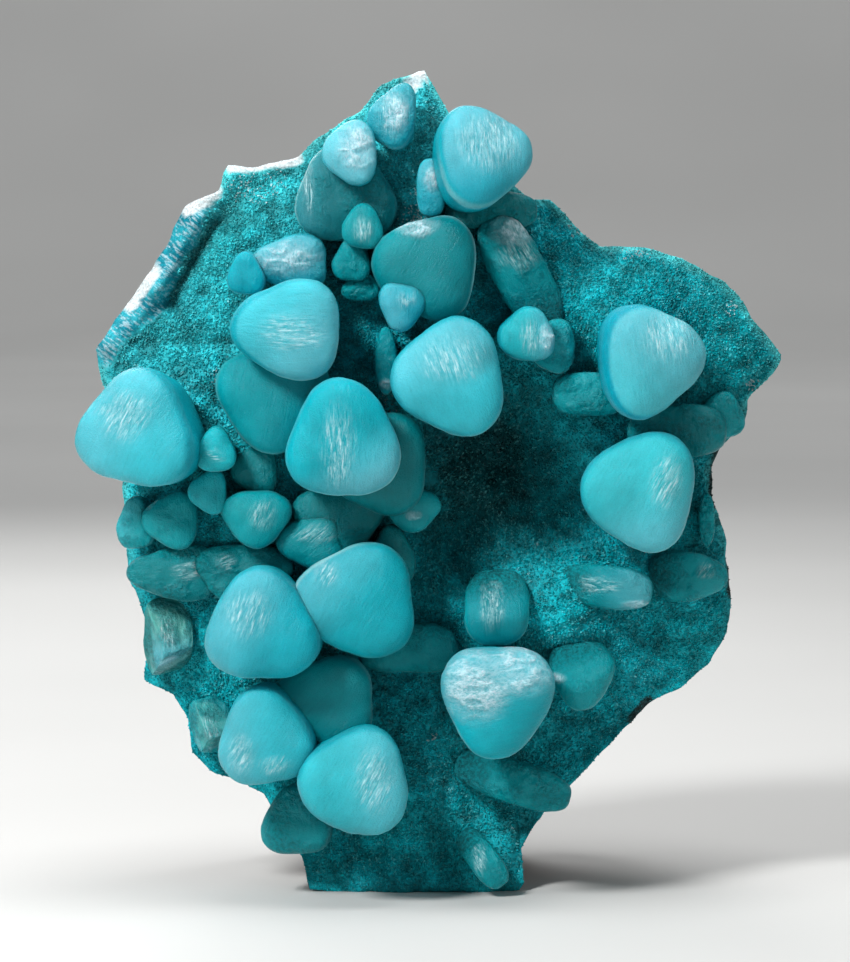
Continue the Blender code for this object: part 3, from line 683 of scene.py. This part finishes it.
def outline_radius(angles):
    """How far the crust's outline is from its centre in each direction."""
    centre = np.array(CRUST_CENTRE)
    corners = np.array(OUTLINE) - centre
    turns = np.arctan2(corners[:, 1], corners[:, 0])
    order = np.argsort(turns)
    corners, turns = corners[order], turns[order]
    wrapped = (angles + math.pi) % math.tau - math.pi
    after = np.searchsorted(turns, wrapped) % len(turns)
    first, second = corners[after - 1], corners[after]
    heading = np.stack([np.cos(wrapped), np.sin(wrapped)], -1)
    edge = second - first
    cross = first[:, 0] * second[:, 1] - first[:, 1] * second[:, 0]
    return cross / (heading[:, 0] * edge[:, 1] - heading[:, 1] * edge[:, 0])


def edge_share(x, z):
    """How far each place is from the crust's centre: 1 at its edge."""
    across, rise = x - CRUST_CENTRE[0], z - CRUST_CENTRE[1]
    return np.hypot(across, rise) / outline_radius(np.arctan2(rise, across))


def slow_lumps(x, z):
    """The crust's slow unevenness, as in the solids."""
    flat = zip(np.ravel(x), np.ravel(z))
    values = [0.45 * noise.noise(Vector((a * 0.16, 3.7, b * 0.16))) for a, b in flat]
    return np.array(values).reshape(np.shape(x))


def crystal_roots():
    """Where each crystal meets the crust, and how wide it is there."""
    roots = []
    for crystals in CLUSTERS.values():
        for crystal in crystals:
            centre, scale, outward, *_ = crystal_frame(crystal)
            foot = centre - outward * (crystal.out / -outward.y)
            width = min(crystal.half_width, crystal.half_height) * scale * 0.6
            roots.append((foot.x, foot.z, width))
    return roots


def crust_front_y(x, z, share):
    """The y of the crust's front at (x, z), which curls back near its edge."""
    out = forms_height(BED_FORMS, x, z) + forms_height(CRUST_FORMS, x, z) + slow_lumps(x, z)
    for root_x, root_z, width in crystal_roots():
        away = np.hypot(x - root_x, z - root_z) / (width * 1.25)
        out = out + ROOT_MOUND * np.exp(-away ** 4) * min(width / 2.5, 1.0)
    places = np.stack([x, np.zeros_like(x), z], -1)
    out = out + CRUST_LUMPS * layered_noise(places, CRUST_LUMP_WIDTH, 41, 3) + clump_height(places)
    curl = EDGE_CURL * eased(share, EDGE_CURL_START, 1.0) * eased(z, 2.0, 7.0)
    return CRUST_PLANE_Y - out + curl


def clump_height(places):
    """The small clumps that the druse grows in."""
    flat = places * np.array([1.0, 0.0, 1.0])
    return CLUMP_HEIGHT * layered_noise(flat, CLUMP_WIDTH, 47, 2)


BAND_TURN = math.radians(57.3)  # direction of the broken band, from the x axis

# Places on the crust, each with a width and a height of 1: the broken band at the upper left,
# the white breaks along it and beside it, the brown stains on the right edge, and white dust with painted
# sparkle
BROKEN_BAND = [
    Ridge((-24.6, 67.8), (-29.2, 59.9), 2.5, 1.0),
    Ridge((-29.2, 59.9), (-33.2, 54.8), 2.2, 1.0),
]
WHITE_BREAKS = [
    Ridge((-19.9, 72.6), (-13.6, 73.3), 0.75, 1.0),
    Ridge((-21.8, 70.1), (-24.3, 68.6), 1.0, 1.0),
    Ridge((-27.9, 62.2), (-30.1, 59.0), 0.85, 1.0),
    Ridge((-0.9, 81.9), (-2.1, 80.6), 0.8, 1.0),
]
BROWN_STAINS = [
    Ridge((28.9, 44.4), (28.3, 38.8), 0.8, 1.0),
    Ridge((20.3, 17.0), (21.8, 18.8), 0.7, 1.0),
    Ridge((29.9, 33.5), (30.1, 29.5), 0.35, 1.0),
]
WHITE_DUST_AND_SPARKLE = [
    Swell(-1.4, 66.8, 1.3, 2.4, 1.0),
    Swell(-15.6, 70.9, 1.0, 1.5, 0.6),
    Swell(-17.2, 69.4, 0.8, 0.6, 0.7),
    Swell(-21.2, 51.4, 0.5, 0.9, 0.9),
    Swell(-18.9, 70.8, 1.2, 1.2, 0.5),
    Swell(32.0, 51.0, 0.7, 0.6, 0.8),
    Swell(-4.2, 48.0, 0.9, 1.4, 0.9),
    Swell(0.2, 15.5, 0.6, 0.5, 0.8),
    Swell(20.6, 64.0, 1.6, 0.5, 0.9),
    Swell(14.2, 66.2, 0.9, 0.5, 0.6),
    Swell(30.0, 58.4, 0.5, 0.7, 0.7),
    Swell(13.9, 50.5, 0.5, 0.5, 0.8),
    Swell(-9.8, 24.6, 0.4, 0.4, 0.8),
]


def broken_share(x, z):
    """1 where the crust is broken across and shows its inside, 0 where druse covers it."""
    places = np.stack([x, np.zeros_like(x), z], -1)
    close = forms_height(BROKEN_BAND, x, z) + forms_height(WHITE_BREAKS, x, z)
    return eased(close + 0.12 * layered_noise(places, 1.2, 61, 2), 0.36, 0.56)


def streak_noise(points):
    """Streaks that run across the broken band, from about -1 to 1."""
    along = points[..., 0] * -0.54 + points[..., 2] * -0.84
    away = points[..., 0] * -0.84 + points[..., 2] * 0.54
    return layered_noise(np.stack([along, points[..., 1] * 0.3, away * 0.4], -1), 1.0, 91, 2)


def crust_rings(shares, edge, angles):
    """x and z of rings at those shares of the way from the crust's centre to its edge."""
    out = shares[:, None] * edge[None, :]
    return CRUST_CENTRE[0] + out * np.cos(angles), CRUST_CENTRE[1] + out * np.sin(angles)


def build_crust(material):
    """The crust's own surface, without its grains; returns its points and where it is broken."""
    angles = np.arange(CRUST_SIDES) / CRUST_SIDES * math.tau
    ring_places = np.stack([np.cos(angles), np.sin(angles), np.zeros_like(angles)], -1)
    ragged = 1.0 + RAGGED_EDGE * layered_noise(ring_places * 40.0, 2.6, 5, 3)
    edge = outline_radius(angles) * ragged
    shares = np.linspace(0.0, 1.0, CRUST_FRONT_RINGS + 1)[1:] ** 0.82
    x, z = crust_rings(shares, edge, angles)
    share_grid = np.repeat(shares[:, None], CRUST_SIDES, 1)
    y = crust_front_y(x, z, share_grid)
    broken = broken_share(x, z)
    y = y + broken * (BREAK_DEPTH + STREAK_DEPTH * streak_noise(np.stack([x, y, z], -1)))

    # the wall round the edge, then the back
    wall = np.linspace(0.0, 1.0, CRUST_WALL_RINGS + 1)[1:]
    wall_x = np.repeat(x[-1:, :], CRUST_WALL_RINGS, 0)
    wall_z = np.repeat(z[-1:, :], CRUST_WALL_RINGS, 0)
    back_y = CRUST_PLANE_Y - forms_height(BED_FORMS, x[-1], z[-1]) + CRUST_THICKNESS
    wall_y = y[-1:, :] + (back_y - y[-1])[None, :] * wall[:, None]
    chipped = layered_noise(np.stack([wall_x, wall_y, wall_z], -1), 1.5, 71, 3)
    inset = 1.0 - (1.0 - CRUST_BACK_INSET) * wall[:, None] - RAGGED_EDGE * np.abs(chipped)
    wall_x = CRUST_CENTRE[0] + (wall_x - CRUST_CENTRE[0]) * inset
    wall_z = CRUST_CENTRE[1] + (wall_z - CRUST_CENTRE[1]) * inset
    back = np.linspace(1.0, 0.0, CRUST_BACK_RINGS + 1)[1:-1] * CRUST_BACK_INSET
    back_x, back_z = crust_rings(back, edge, angles)
    back_deep = CRUST_PLANE_Y - forms_height(BED_FORMS, back_x, back_z) + CRUST_THICKNESS
    rows_x = np.concatenate([x, wall_x, back_x])
    rows_y = np.concatenate([y, wall_y, back_deep])
    rows_z = np.concatenate([z, wall_z, back_z])
    middle = np.array([[CRUST_CENTRE[0], y[0].mean(), CRUST_CENTRE[1]]])
    rear = np.array([[CRUST_CENTRE[0], back_deep[-1].mean(), CRUST_CENTRE[1]]])
    body = np.stack([rows_x, rows_y, rows_z], -1).reshape(-1, 3)
    points = np.concatenate([middle, body, rear])
    points[:, 2] = np.maximum(points[:, 2], 0.0)

    colours = crust_colour(points)
    rings = len(rows_x)
    fresh = np.concatenate([broken, np.ones((rings - CRUST_FRONT_RINGS, CRUST_SIDES))])
    fresh = np.concatenate([[0.0], fresh.ravel(), [1.0]])
    colours = mixed(colours, broken_colour(points), fresh)
    points = points + SHIFT
    made = add_mesh("drusy_crust_detail", points, list(capped_grid(rings, CRUST_SIDES)), True, colours,
                    {"fresh": fresh})
    made.data.materials.append(material)
    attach(made, "root")
    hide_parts("drusy_crust")
    return points, fresh


def crust_colour(points):
    """The teal of the druse: cloudier and paler at the upper left, with painted shade in the hollow, the
    groove, the low parts between clumps and towards the right and below, and a painted highlight along the
    edge.
    """
    x, z = points[:, 0], points[:, 2]
    clouds = layered_noise(points, 5.0, 83, 3)
    colours = mixed(srgb(0, 174, 188), srgb(10, 192, 204), eased(clouds, -0.7, 0.8))
    upper_left = eased(z - x * 0.9, 55.0, 95.0)
    colours = mixed(colours, srgb(84, 214, 218), upper_left * 0.6)
    # painted shade: the hollow in the middle is darkened
    hollow_shade = np.exp(-(((x - 5.5) / 8.0) ** 2) - (((z - 42.0) / 9.0) ** 2))
    colours = mixed(colours, srgb(0, 74, 78), np.minimum(hollow_shade * 1.15, 0.95))
    # painted shade: darker to the right and below, away from the light from the upper left
    right = eased(x + z * 0.3, 24.0, 44.0)
    lower = eased(x * 0.5 - z, -26.0, -8.0)
    colours = mixed(colours, colours * 0.76, np.maximum(right, lower * 0.7))
    # painted highlight: a bright line along the crust's edge
    edge_highlight = eased(edge_share(x, z), 0.965, 0.995) * eased(z, 20.0, 45.0)
    colours = mixed(colours, srgb(110, 226, 224), edge_highlight * 0.45)
    # painted shade in the groove
    groove_shade = forms_height([Ridge((-21.6, 67.0), (-26.0, 59.4), 0.8, 1.0)], x, z)
    colours = mixed(colours, srgb(0, 60, 62), groove_shade * 0.8)
    # painted light and shade: clump tops lighter, the low parts between clumps darker
    colours = colours * (1.0 + 2.4 * clump_height(points))[:, None]
    stain = eased(forms_height(BROWN_STAINS, x, z) + 0.15 * clouds, 0.35, 0.6)
    return mixed(colours, srgb(44, 30, 22), stain * 0.9)


def broken_colour(points):
    """The fresh break: streaked turquoise with white where it is freshest."""
    x, z = points[:, 0], points[:, 2]
    streaks = streak_noise(points)
    colours = mixed(srgb(0, 138, 158), srgb(50, 186, 202), eased(streaks, -0.6, 0.8))
    layers = layered_noise(points * np.array([0.12, 0.3, 2.2]), 1.0, 99, 2)
    foot = 1.0 - eased(z, 2.0, 4.0)
    colours = mixed(colours, mixed(srgb(0, 56, 58), srgb(60, 160, 156), eased(layers, -0.5, 0.6)), foot)
    inside_band = eased(forms_height(BROKEN_BAND, x, z), 0.2, 0.5)
    dull = mixed(srgb(0, 96, 104), srgb(40, 158, 164), eased(streaks, -0.8, 0.9))
    colours = mixed(dull, colours, np.maximum(inside_band, foot))
    white = eased(forms_height(WHITE_BREAKS, x, z) + 0.1 * streaks, 0.3, 0.45)
    return mixed(colours, WHITE, white)


# Grains: how many there are in each band between two heights, their sizes, and how they are tilted
GRAIN_COUNTS = {"druse_grains_upper": 37000, "druse_grains_middle": 38000, "druse_grains_lower": 33000}
GRAIN_BANDS = {"druse_grains_upper": (55.0, 200.0), "druse_grains_middle": (30.0, 55.0),
               "druse_grains_lower": (-1.0, 30.0)}
GRAIN_SIZES = (0.15, 0.27)
GRAIN_TILT = 0.33
GRAIN_SEED = 20


def grain_shape():
    """The tip of a small rhomb, three faces that meet in a point: its 4 points and 4 faces."""
    base = [(math.cos(turn), math.sin(turn), -0.5) for turn in (0.0, math.tau / 3, -math.tau / 3)]
    points = np.array(base + [(0.0, 0.0, 1.1)])
    faces = np.array([[0, 1, 3], [1, 2, 3], [2, 0, 3], [0, 2, 1]])
    return points, faces


def build_grains(name, surface, fresh, material, random):
    """Thousands of rhomb tips that cover one band of the crust, as one joined mesh."""
    low, high = GRAIN_BANDS[name]
    rings = CRUST_FRONT_RINGS + CRUST_WALL_RINGS // 3
    quads = capped_grid(rings, CRUST_SIDES)[0]
    corners = surface[quads]
    middles = corners.mean(1)
    across = corners[:, 2] - corners[:, 0]
    along = corners[:, 3] - corners[:, 1]
    normals = np.cross(across, along)
    areas = np.linalg.norm(normals, axis=1) * 0.5
    normals /= areas[:, None] * 2.0 + 1e-12
    chosen = (middles[:, 2] >= low) & (middles[:, 2] < high) & (fresh[quads].max(1) < 0.5)
    weights = areas * chosen
    count = GRAIN_COUNTS[name]
    picks = random.choice(len(quads), count, p=weights / weights.sum())
    u, v = random.random(count)[:, None], random.random(count)[:, None]
    c = corners[picks]
    spots = (c[:, 0] * (1 - u) + c[:, 1] * u) * (1 - v) + (c[:, 3] * (1 - u) + c[:, 2] * u) * v
    heading = normals[picks]
    heading = heading * np.where((heading[:, 1] > 0.3)[:, None], -1.0, 1.0)
    heading = heading + random.normal(0.0, GRAIN_TILT, (count, 3))
    heading /= np.linalg.norm(heading, axis=1, keepdims=True)
    side = np.cross(heading, random.normal(0.0, 1.0, (count, 3)))
    side /= np.linalg.norm(side, axis=1, keepdims=True)
    third = np.cross(heading, side)
    size = random.uniform(*GRAIN_SIZES, count) * (1.0 + 0.25 * smooth_noise(spots, 4.0, 7))
    size = size * (1.0 - 0.4 * eased(edge_share(spots[:, 0], spots[:, 2]), 0.94, 1.0))
    shape, faces = grain_shape()
    points_each = len(shape)
    points = (spots[:, None, :]
              + (shape[None, :, 0:1] * side[:, None, :] + shape[None, :, 1:2] * third[:, None, :]
                 + shape[None, :, 2:3] * heading[:, None, :]) * size[:, None, None])
    points[:, :, 2] = np.maximum(points[:, :, 2], 0.02)
    all_faces = (faces[None, :, :] + np.arange(count)[:, None, None] * points_each).reshape(-1, 3)
    seen = spots - SHIFT
    base = crust_colour(seen)
    bright = random.random(count)
    # grain tips paler at random, partly their own tone, partly painted sparkle
    tips = mixed(base * 1.15, srgb(130, 236, 236), eased(bright, 0.4, 1.0) * 0.5)
    dust_and_sparkle = forms_height(WHITE_DUST_AND_SPARKLE, seen[:, 0], seen[:, 2])
    # painted sparkle: the brightest few grains
    tips = np.where((bright > 0.985)[:, None], base * 2.4, tips)
    # white dust and painted sparkle: pure white grain tips in those places
    tips = np.where((bright + dust_and_sparkle * 0.6 > 1.02)[:, None], np.array(WHITE)[None, :], tips)
    # painted shade and light on each grain: darker at its base, lighter at its tip
    height = (shape[:, 2] - shape[:, 2].min()) / np.ptp(shape[:, 2])
    height = np.broadcast_to(height[None, :], (count, points_each))
    colours = mixed(base[:, None, :] * 0.8, tips[:, None, :], height)
    made = add_mesh(name, points.reshape(-1, 3), [all_faces], False, colours.reshape(-1, 3))
    made.data.materials.append(material)
    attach(made, "root")


# Rock: how finely it is cut, its lumps and its ledges, in millimetres
ROCK_VOXEL = 0.9
ROCK_LUMPS = 0.7
ROCK_LEDGES = 0.5


def vertex_values(mesh, key):
    """The place or the normal of every point of a mesh."""
    values = np.empty(len(mesh.vertices) * 3, np.float32)
    mesh.vertices.foreach_get(key, values)
    return values.reshape(-1, 3).astype(float)


def build_rock(material):
    """The rock: a finer copy of its solid, roughened away from the crust and the foot."""
    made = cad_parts["matrix"].copy()
    made.data = made.data.copy()
    made.name = "matrix_detail"
    for key in list(made.keys()):
        del made[key]
    made.parent = None
    bpy.context.scene.collection.objects.link(made)
    remesh = made.modifiers.new("even_faces", "REMESH")
    remesh.mode = "VOXEL"
    remesh.voxel_size = ROCK_VOXEL * MM
    depsgraph = bpy.context.evaluated_depsgraph_get()
    fine = bpy.data.meshes.new_from_object(made.evaluated_get(depsgraph))
    made.modifiers.clear()
    made.data = fine
    made.data.materials.clear()
    points = vertex_values(fine, "co") / MM
    normals = vertex_values(fine, "normal")
    rough = layered_noise(points, 6.0, 23, 4) * ROCK_LUMPS - 0.3
    ledges = np.round(layered_noise(points * np.array([0.6, 1.0, 1.6]), 5.0, 29, 2) * 3.0) / 3.0 * ROCK_LEDGES
    back = eased(points[:, 1], 0.5, 4.0) * eased(points[:, 2], 0.3, 2.0)
    points = points + normals * ((rough + ledges) * back)[:, None]
    points[:, 2] = np.maximum(points[:, 2], 0.0)
    fine.vertices.foreach_set("co", (points * MM).astype(np.float32).ravel())
    fine.polygons.foreach_set("use_smooth", np.ones(len(fine.polygons), bool))
    fine.update()
    made.data.materials.append(material)
    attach(made, "root")
    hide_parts("matrix")


class Nodes:
    """A short way to write a material's nodes."""

    def __init__(self, name):
        self.material = bpy.data.materials.new(name)
        self.material.use_nodes = True
        self.tree = self.material.node_tree
        self.shader = self.tree.nodes["Principled BSDF"]

    def add(self, kind, inputs=None, **settings):
        """Adds a node, sets its values and links its inputs."""
        node = self.tree.nodes.new(kind)
        for key, value in settings.items():
            setattr(node, key, value)
        for key, value in (inputs or {}).items():
            self.put(node.inputs[key], value)
        return node

    def put(self, socket, value):
        """Links a socket, or sets its value."""
        if isinstance(value, bpy.types.NodeSocket):
            self.tree.links.new(value, socket)
        else:
            socket.default_value = value

    def math(self, operation, first, second):
        """One step of arithmetic."""
        return self.add("ShaderNodeMath", {0: first, 1: second}, operation=operation).outputs[0]

    def times(self, first, second):
        """A product."""
        return self.math("MULTIPLY", first, second)

    def plus(self, first, second):
        """A sum."""
        return self.math("ADD", first, second)

    def place(self):
        """The place on the specimen, in metres."""
        return self.add("ShaderNodeTexCoord").outputs["Object"]

    def mapped(self, vector, **settings):
        """A place that is turned or scaled."""
        return self.add("ShaderNodeMapping", {"Vector": vector, **settings}).outputs[0]

    def mix(self, share, first, second, blend="MIX"):
        """A blend of two colours."""
        node = self.add("ShaderNodeMix", data_type="RGBA", blend_type=blend)
        self.put(node.inputs[0], share)
        self.put(node.inputs[6], first)
        self.put(node.inputs[7], second)
        return node.outputs[2]

    def ramp(self, value, stops):
        """A colour ramp of grey or coloured stops."""
        node = self.add("ShaderNodeValToRGB", {0: value})
        elements = node.color_ramp.elements
        while len(elements) < len(stops):
            elements.new(0.5)
        for element, (place, colour) in zip(elements, stops):
            element.position = place
            element.color = (*colour, 1.0) if isinstance(colour, tuple) else (colour, colour, colour, 1.0)
        return node.outputs[0]

    def attribute(self, name, output):
        """A value that the mesh carries."""
        return self.add("ShaderNodeAttribute", attribute_name=name).outputs[output]

    def noise(self, vector, scale, detail=3.0, roughness=0.55):
        """Noise of that scale, in lumps a metre."""
        return self.add("ShaderNodeTexNoise", {
            "Vector": vector, "Scale": scale, "Detail": detail, "Roughness": roughness}).outputs["Fac"]

    def finish(self, colour, roughness, height=None, bump=0.3, distance=0.0003, **values):
        """Puts the colour, roughness, bump and plain numbers on the shader."""
        self.put(self.shader.inputs["Base Color"], colour)
        self.put(self.shader.inputs["Roughness"], roughness)
        if height is not None:
            node = self.add("ShaderNodeBump", {"Height": height, "Strength": bump, "Distance": distance})
            self.put(self.shader.inputs["Normal"], node.outputs[0])
        for key, value in values.items():
            self.shader.inputs[key.replace("_", " ")].default_value = value
        return self.material


def crystal_material():
    """Milky turquoise with a finely lined face, painted highlights of white silky streaks and glints, frosted
    patches and druse on its roots.
    """
    nodes = Nodes("crystal")
    tint = nodes.attribute("tint", "Color")
    frost, silk, coat = (nodes.attribute(name, "Fac") for name in ("frost", "silk", "coat"))
    lines = nodes.attribute("lines", "Vector")
    fine = nodes.noise(nodes.mapped(lines, Scale=(3.0, 0.5, 1.0)), 1.0, 4.0, 0.66)
    nodes.put(fine.node.inputs["Distortion"], 0.5)
    speckle = nodes.noise(nodes.mapped(lines, Scale=(3.2, 1.6, 2.0)), 1.5, 4.0, 0.65)
    dashes = nodes.noise(nodes.mapped(lines, Scale=(5.0, 0.7, 2.0)), 1.0, 4.0, 0.62)
    grain = nodes.noise(lines, 7.0, 2.0, 0.6)
    crumbs = nodes.noise(nodes.place(), 3000.0, 3.0, 0.65)

    threads = nodes.ramp(fine, [(0.42, 0.0), (0.64, 1.0)])
    broken = nodes.ramp(speckle, [(0.36, 0.2), (0.62, 1.0)])
    # painted highlights: white silky streaks and short glints mixed into the colour
    painted_glints = nodes.times(nodes.ramp(dashes, [(0.5, 0.0), (0.68, 1.0)]), silk)
    sheen = nodes.times(nodes.times(silk, threads), broken)
    sheen = nodes.math("MAXIMUM", nodes.times(sheen, 0.45), nodes.times(painted_glints, 0.75))
    shade = nodes.plus(nodes.times(fine, 0.5), nodes.times(grain, 0.5))
    shade = nodes.ramp(shade, [(0.36, 0.84), (0.62, 1.0)])
    shade = nodes.mix(coat, shade, nodes.ramp(crumbs, [(0.34, 0.3), (0.64, 1.0)]))
    colour = nodes.mix(sheen, nodes.mix(1.0, tint, shade, "MULTIPLY"), (*SHEEN_WHITE, 1.0))
    mottled = nodes.ramp(speckle, [(0.36, 0.3), (0.6, 1.0)])
    colour = nodes.mix(nodes.times(frost, mottled), colour, (*FROST, 1.0))

    rough = nodes.plus(nodes.times(fine, 0.25), 0.2)
    rough = nodes.math("MAXIMUM", rough, nodes.times(coat, 0.6))
    ripple = nodes.plus(nodes.times(fine, nodes.plus(silk, 0.4)), nodes.times(grain, 0.3))
    relief = nodes.plus(ripple, nodes.times(nodes.times(speckle, frost), 3.0))
    relief = nodes.plus(relief, nodes.times(nodes.times(crumbs, coat), 3.0))
    nodes.shader.subsurface_method = "RANDOM_WALK"
    nodes.shader.inputs["Subsurface Radius"].default_value = (0.2, 1.0, 1.0)
    return nodes.finish(colour, rough, relief, 0.6, 0.0006, Subsurface_Weight=0.6,
                        Subsurface_Scale=0.002, IOR=1.6, Specular_IOR_Level=0.16)


def druse_material(name, bump, roughness):
    """Druse: the mesh's own colours, a fine grainy relief and a crystalline gloss."""
    nodes = Nodes(name)
    place = nodes.place()
    tint = nodes.attribute("tint", "Color")
    grain = nodes.noise(place, 3800.0, 3.0, 0.6)
    # fine white fibres lie across the broken band
    across_band = nodes.mapped(place, Rotation=(0.0, BAND_TURN, 0.0))
    combed = nodes.noise(nodes.mapped(across_band, Scale=(3400.0, 900.0, 800.0)), 1.0, 3.0, 0.6)
    fibres = nodes.ramp(combed, [(0.5, 0.0), (0.6, 1.0)])
    fresh = nodes.times(nodes.attribute("fresh", "Fac"), 0.55)
    tint = nodes.mix(nodes.times(fibres, fresh), tint, (*FROST, 1.0))
    colour = nodes.mix(1.0, tint, nodes.ramp(grain, [(0.30, 0.45), (0.68, 1.0)]), "MULTIPLY")
    rough = nodes.plus(nodes.times(grain, 0.3), roughness)
    return nodes.finish(colour, rough, grain, bump, 0.0003, IOR=1.6, Specular_IOR_Level=0.12)


def rock_material():
    """Brown to black iron-stained rock."""
    nodes = Nodes("rock")
    place = nodes.place()
    broad = nodes.noise(place, 110.0, 5.0, 0.6)
    fine = nodes.noise(place, 1400.0, 4.0, 0.65)
    earth = nodes.ramp(broad, [(0.28, srgb(38, 28, 22)), (0.48, srgb(72, 50, 36)),
                               (0.62, srgb(104, 74, 50)), (0.78, srgb(58, 52, 46))])
    colour = nodes.mix(1.0, earth, nodes.ramp(fine, [(0.25, 0.5), (0.7, 1.0)]), "MULTIPLY")
    relief = nodes.plus(broad, nodes.times(fine, 0.5))
    return nodes.finish(colour, 0.85, relief, 0.7, 0.0008)


def floor_material():
    """Plain pale floor."""
    nodes = Nodes("floor")
    soft = nodes.noise(nodes.place(), 6.0, 2.0, 0.5)
    colour = nodes.ramp(soft, [(0.3, srgb(198, 198, 196)), (0.7, srgb(206, 206, 204))])
    return nodes.finish(colour, 0.7)


def add_floor():
    """A pale sweep: level under the specimen and curving up far behind it."""
    width, front, back, height, bend = 2600.0, -2400.0, 1900.0, 1500.0, 700.0
    profile = [(front, 0.0), (back - bend, 0.0)]
    for step in range(1, 13):
        turn = math.pi / 2 * step / 12
        profile.append((back - bend + bend * math.sin(turn), bend - bend * math.cos(turn)))
    profile.append((back, height))
    points = np.array([(side * width, y, z) for y, z in profile for side in (-1.0, 1.0)])
    rows = np.arange(len(profile) - 1) * 2
    faces = np.stack([rows, rows + 1, rows + 3, rows + 2], -1)
    floor = add_mesh("floor", points, [faces], True)
    floor.data.materials.append(floor_material())


def add_light(name, place, target, size, power):
    """A square soft light that looks at a place; millimetres and watts."""
    data = bpy.data.lights.new(name, "AREA")
    data.shape = "SQUARE"
    data.size = size * MM
    data.energy = power
    light = bpy.data.objects.new(name, data)
    bpy.context.scene.collection.objects.link(light)
    light.location = Vector(place) * MM
    light.rotation_euler = (Vector(target) - Vector(place)).to_track_quat("-Z", "Y").to_euler()


def add_lights():
    """Soft light: a key from the upper left, a top light, a weak fill, one behind, one on the sweep."""
    middle = (0.0, 0.0, 40.0)
    add_light("key", (-230.0, -300.0, 340.0), middle, 100.0, 2.5)
    add_light("top", (30.0, -40.0, 420.0), middle, 200.0, 1.0)
    add_light("fill", (330.0, -280.0, 120.0), middle, 300.0, 0.22)
    add_light("back", (-120.0, 330.0, 260.0), middle, 240.0, 0.7)
    add_light("backdrop", (0.0, 700.0, 1100.0), (0.0, 1700.0, 250.0), 700.0, 7.0)
    world = bpy.data.worlds.new("studio")
    bpy.context.scene.world = world
    world.use_nodes = True
    background = world.node_tree.nodes["Background"].inputs
    background["Color"].default_value = (0.92, 0.95, 1.0, 1.0)
    background["Strength"].default_value = 0.15
    bpy.context.scene.view_settings.view_transform = "Standard"


def add_camera():
    """A long lens at the photograph's angle."""
    data = bpy.data.cameras.new("camera")
    camera = bpy.data.objects.new("camera", data)
    bpy.context.scene.collection.objects.link(camera)
    side = VIEW_SIDE + MIDDLE_SHIFT
    eye = Vector((side, CRUST_PLANE_Y - VIEW_DISTANCE * math.cos(VIEW_RISE),
                  VIEW_HEIGHT + VIEW_DISTANCE * math.sin(VIEW_RISE)))
    target = Vector((side, CRUST_PLANE_Y, VIEW_HEIGHT))
    camera.location = eye * MM
    camera.rotation_euler = (target - eye).to_track_quat("-Z", "Y").to_euler()
    data.sensor_fit = "HORIZONTAL"
    data.sensor_width = SENSOR_WIDTH
    data.lens = SENSOR_WIDTH * VIEW_DISTANCE / VIEW_WIDTH
    data.clip_start = 0.01
    data.clip_end = 20.0
    bpy.context.scene.camera = camera


def main():
    """Builds the pieces in one order, so that the random draws stay the same."""
    add_camera()
    crystal = crystal_material()
    for index, (name, crystals) in enumerate(CLUSTERS.items()):
        build_cluster(name, crystals, crystal, CLUSTER_SEEDS[0] + index * CLUSTER_SEEDS[1])
    surface, fresh = build_crust(druse_material("druse", 0.5, 0.42))
    random = np.random.default_rng(GRAIN_SEED)
    grain_material = druse_material("druse_grains", 0.15, 0.18)
    for name in GRAIN_COUNTS:
        build_grains(name, surface, fresh, grain_material, random)
    build_rock(rock_material())
    add_floor()
    add_lights()


main()
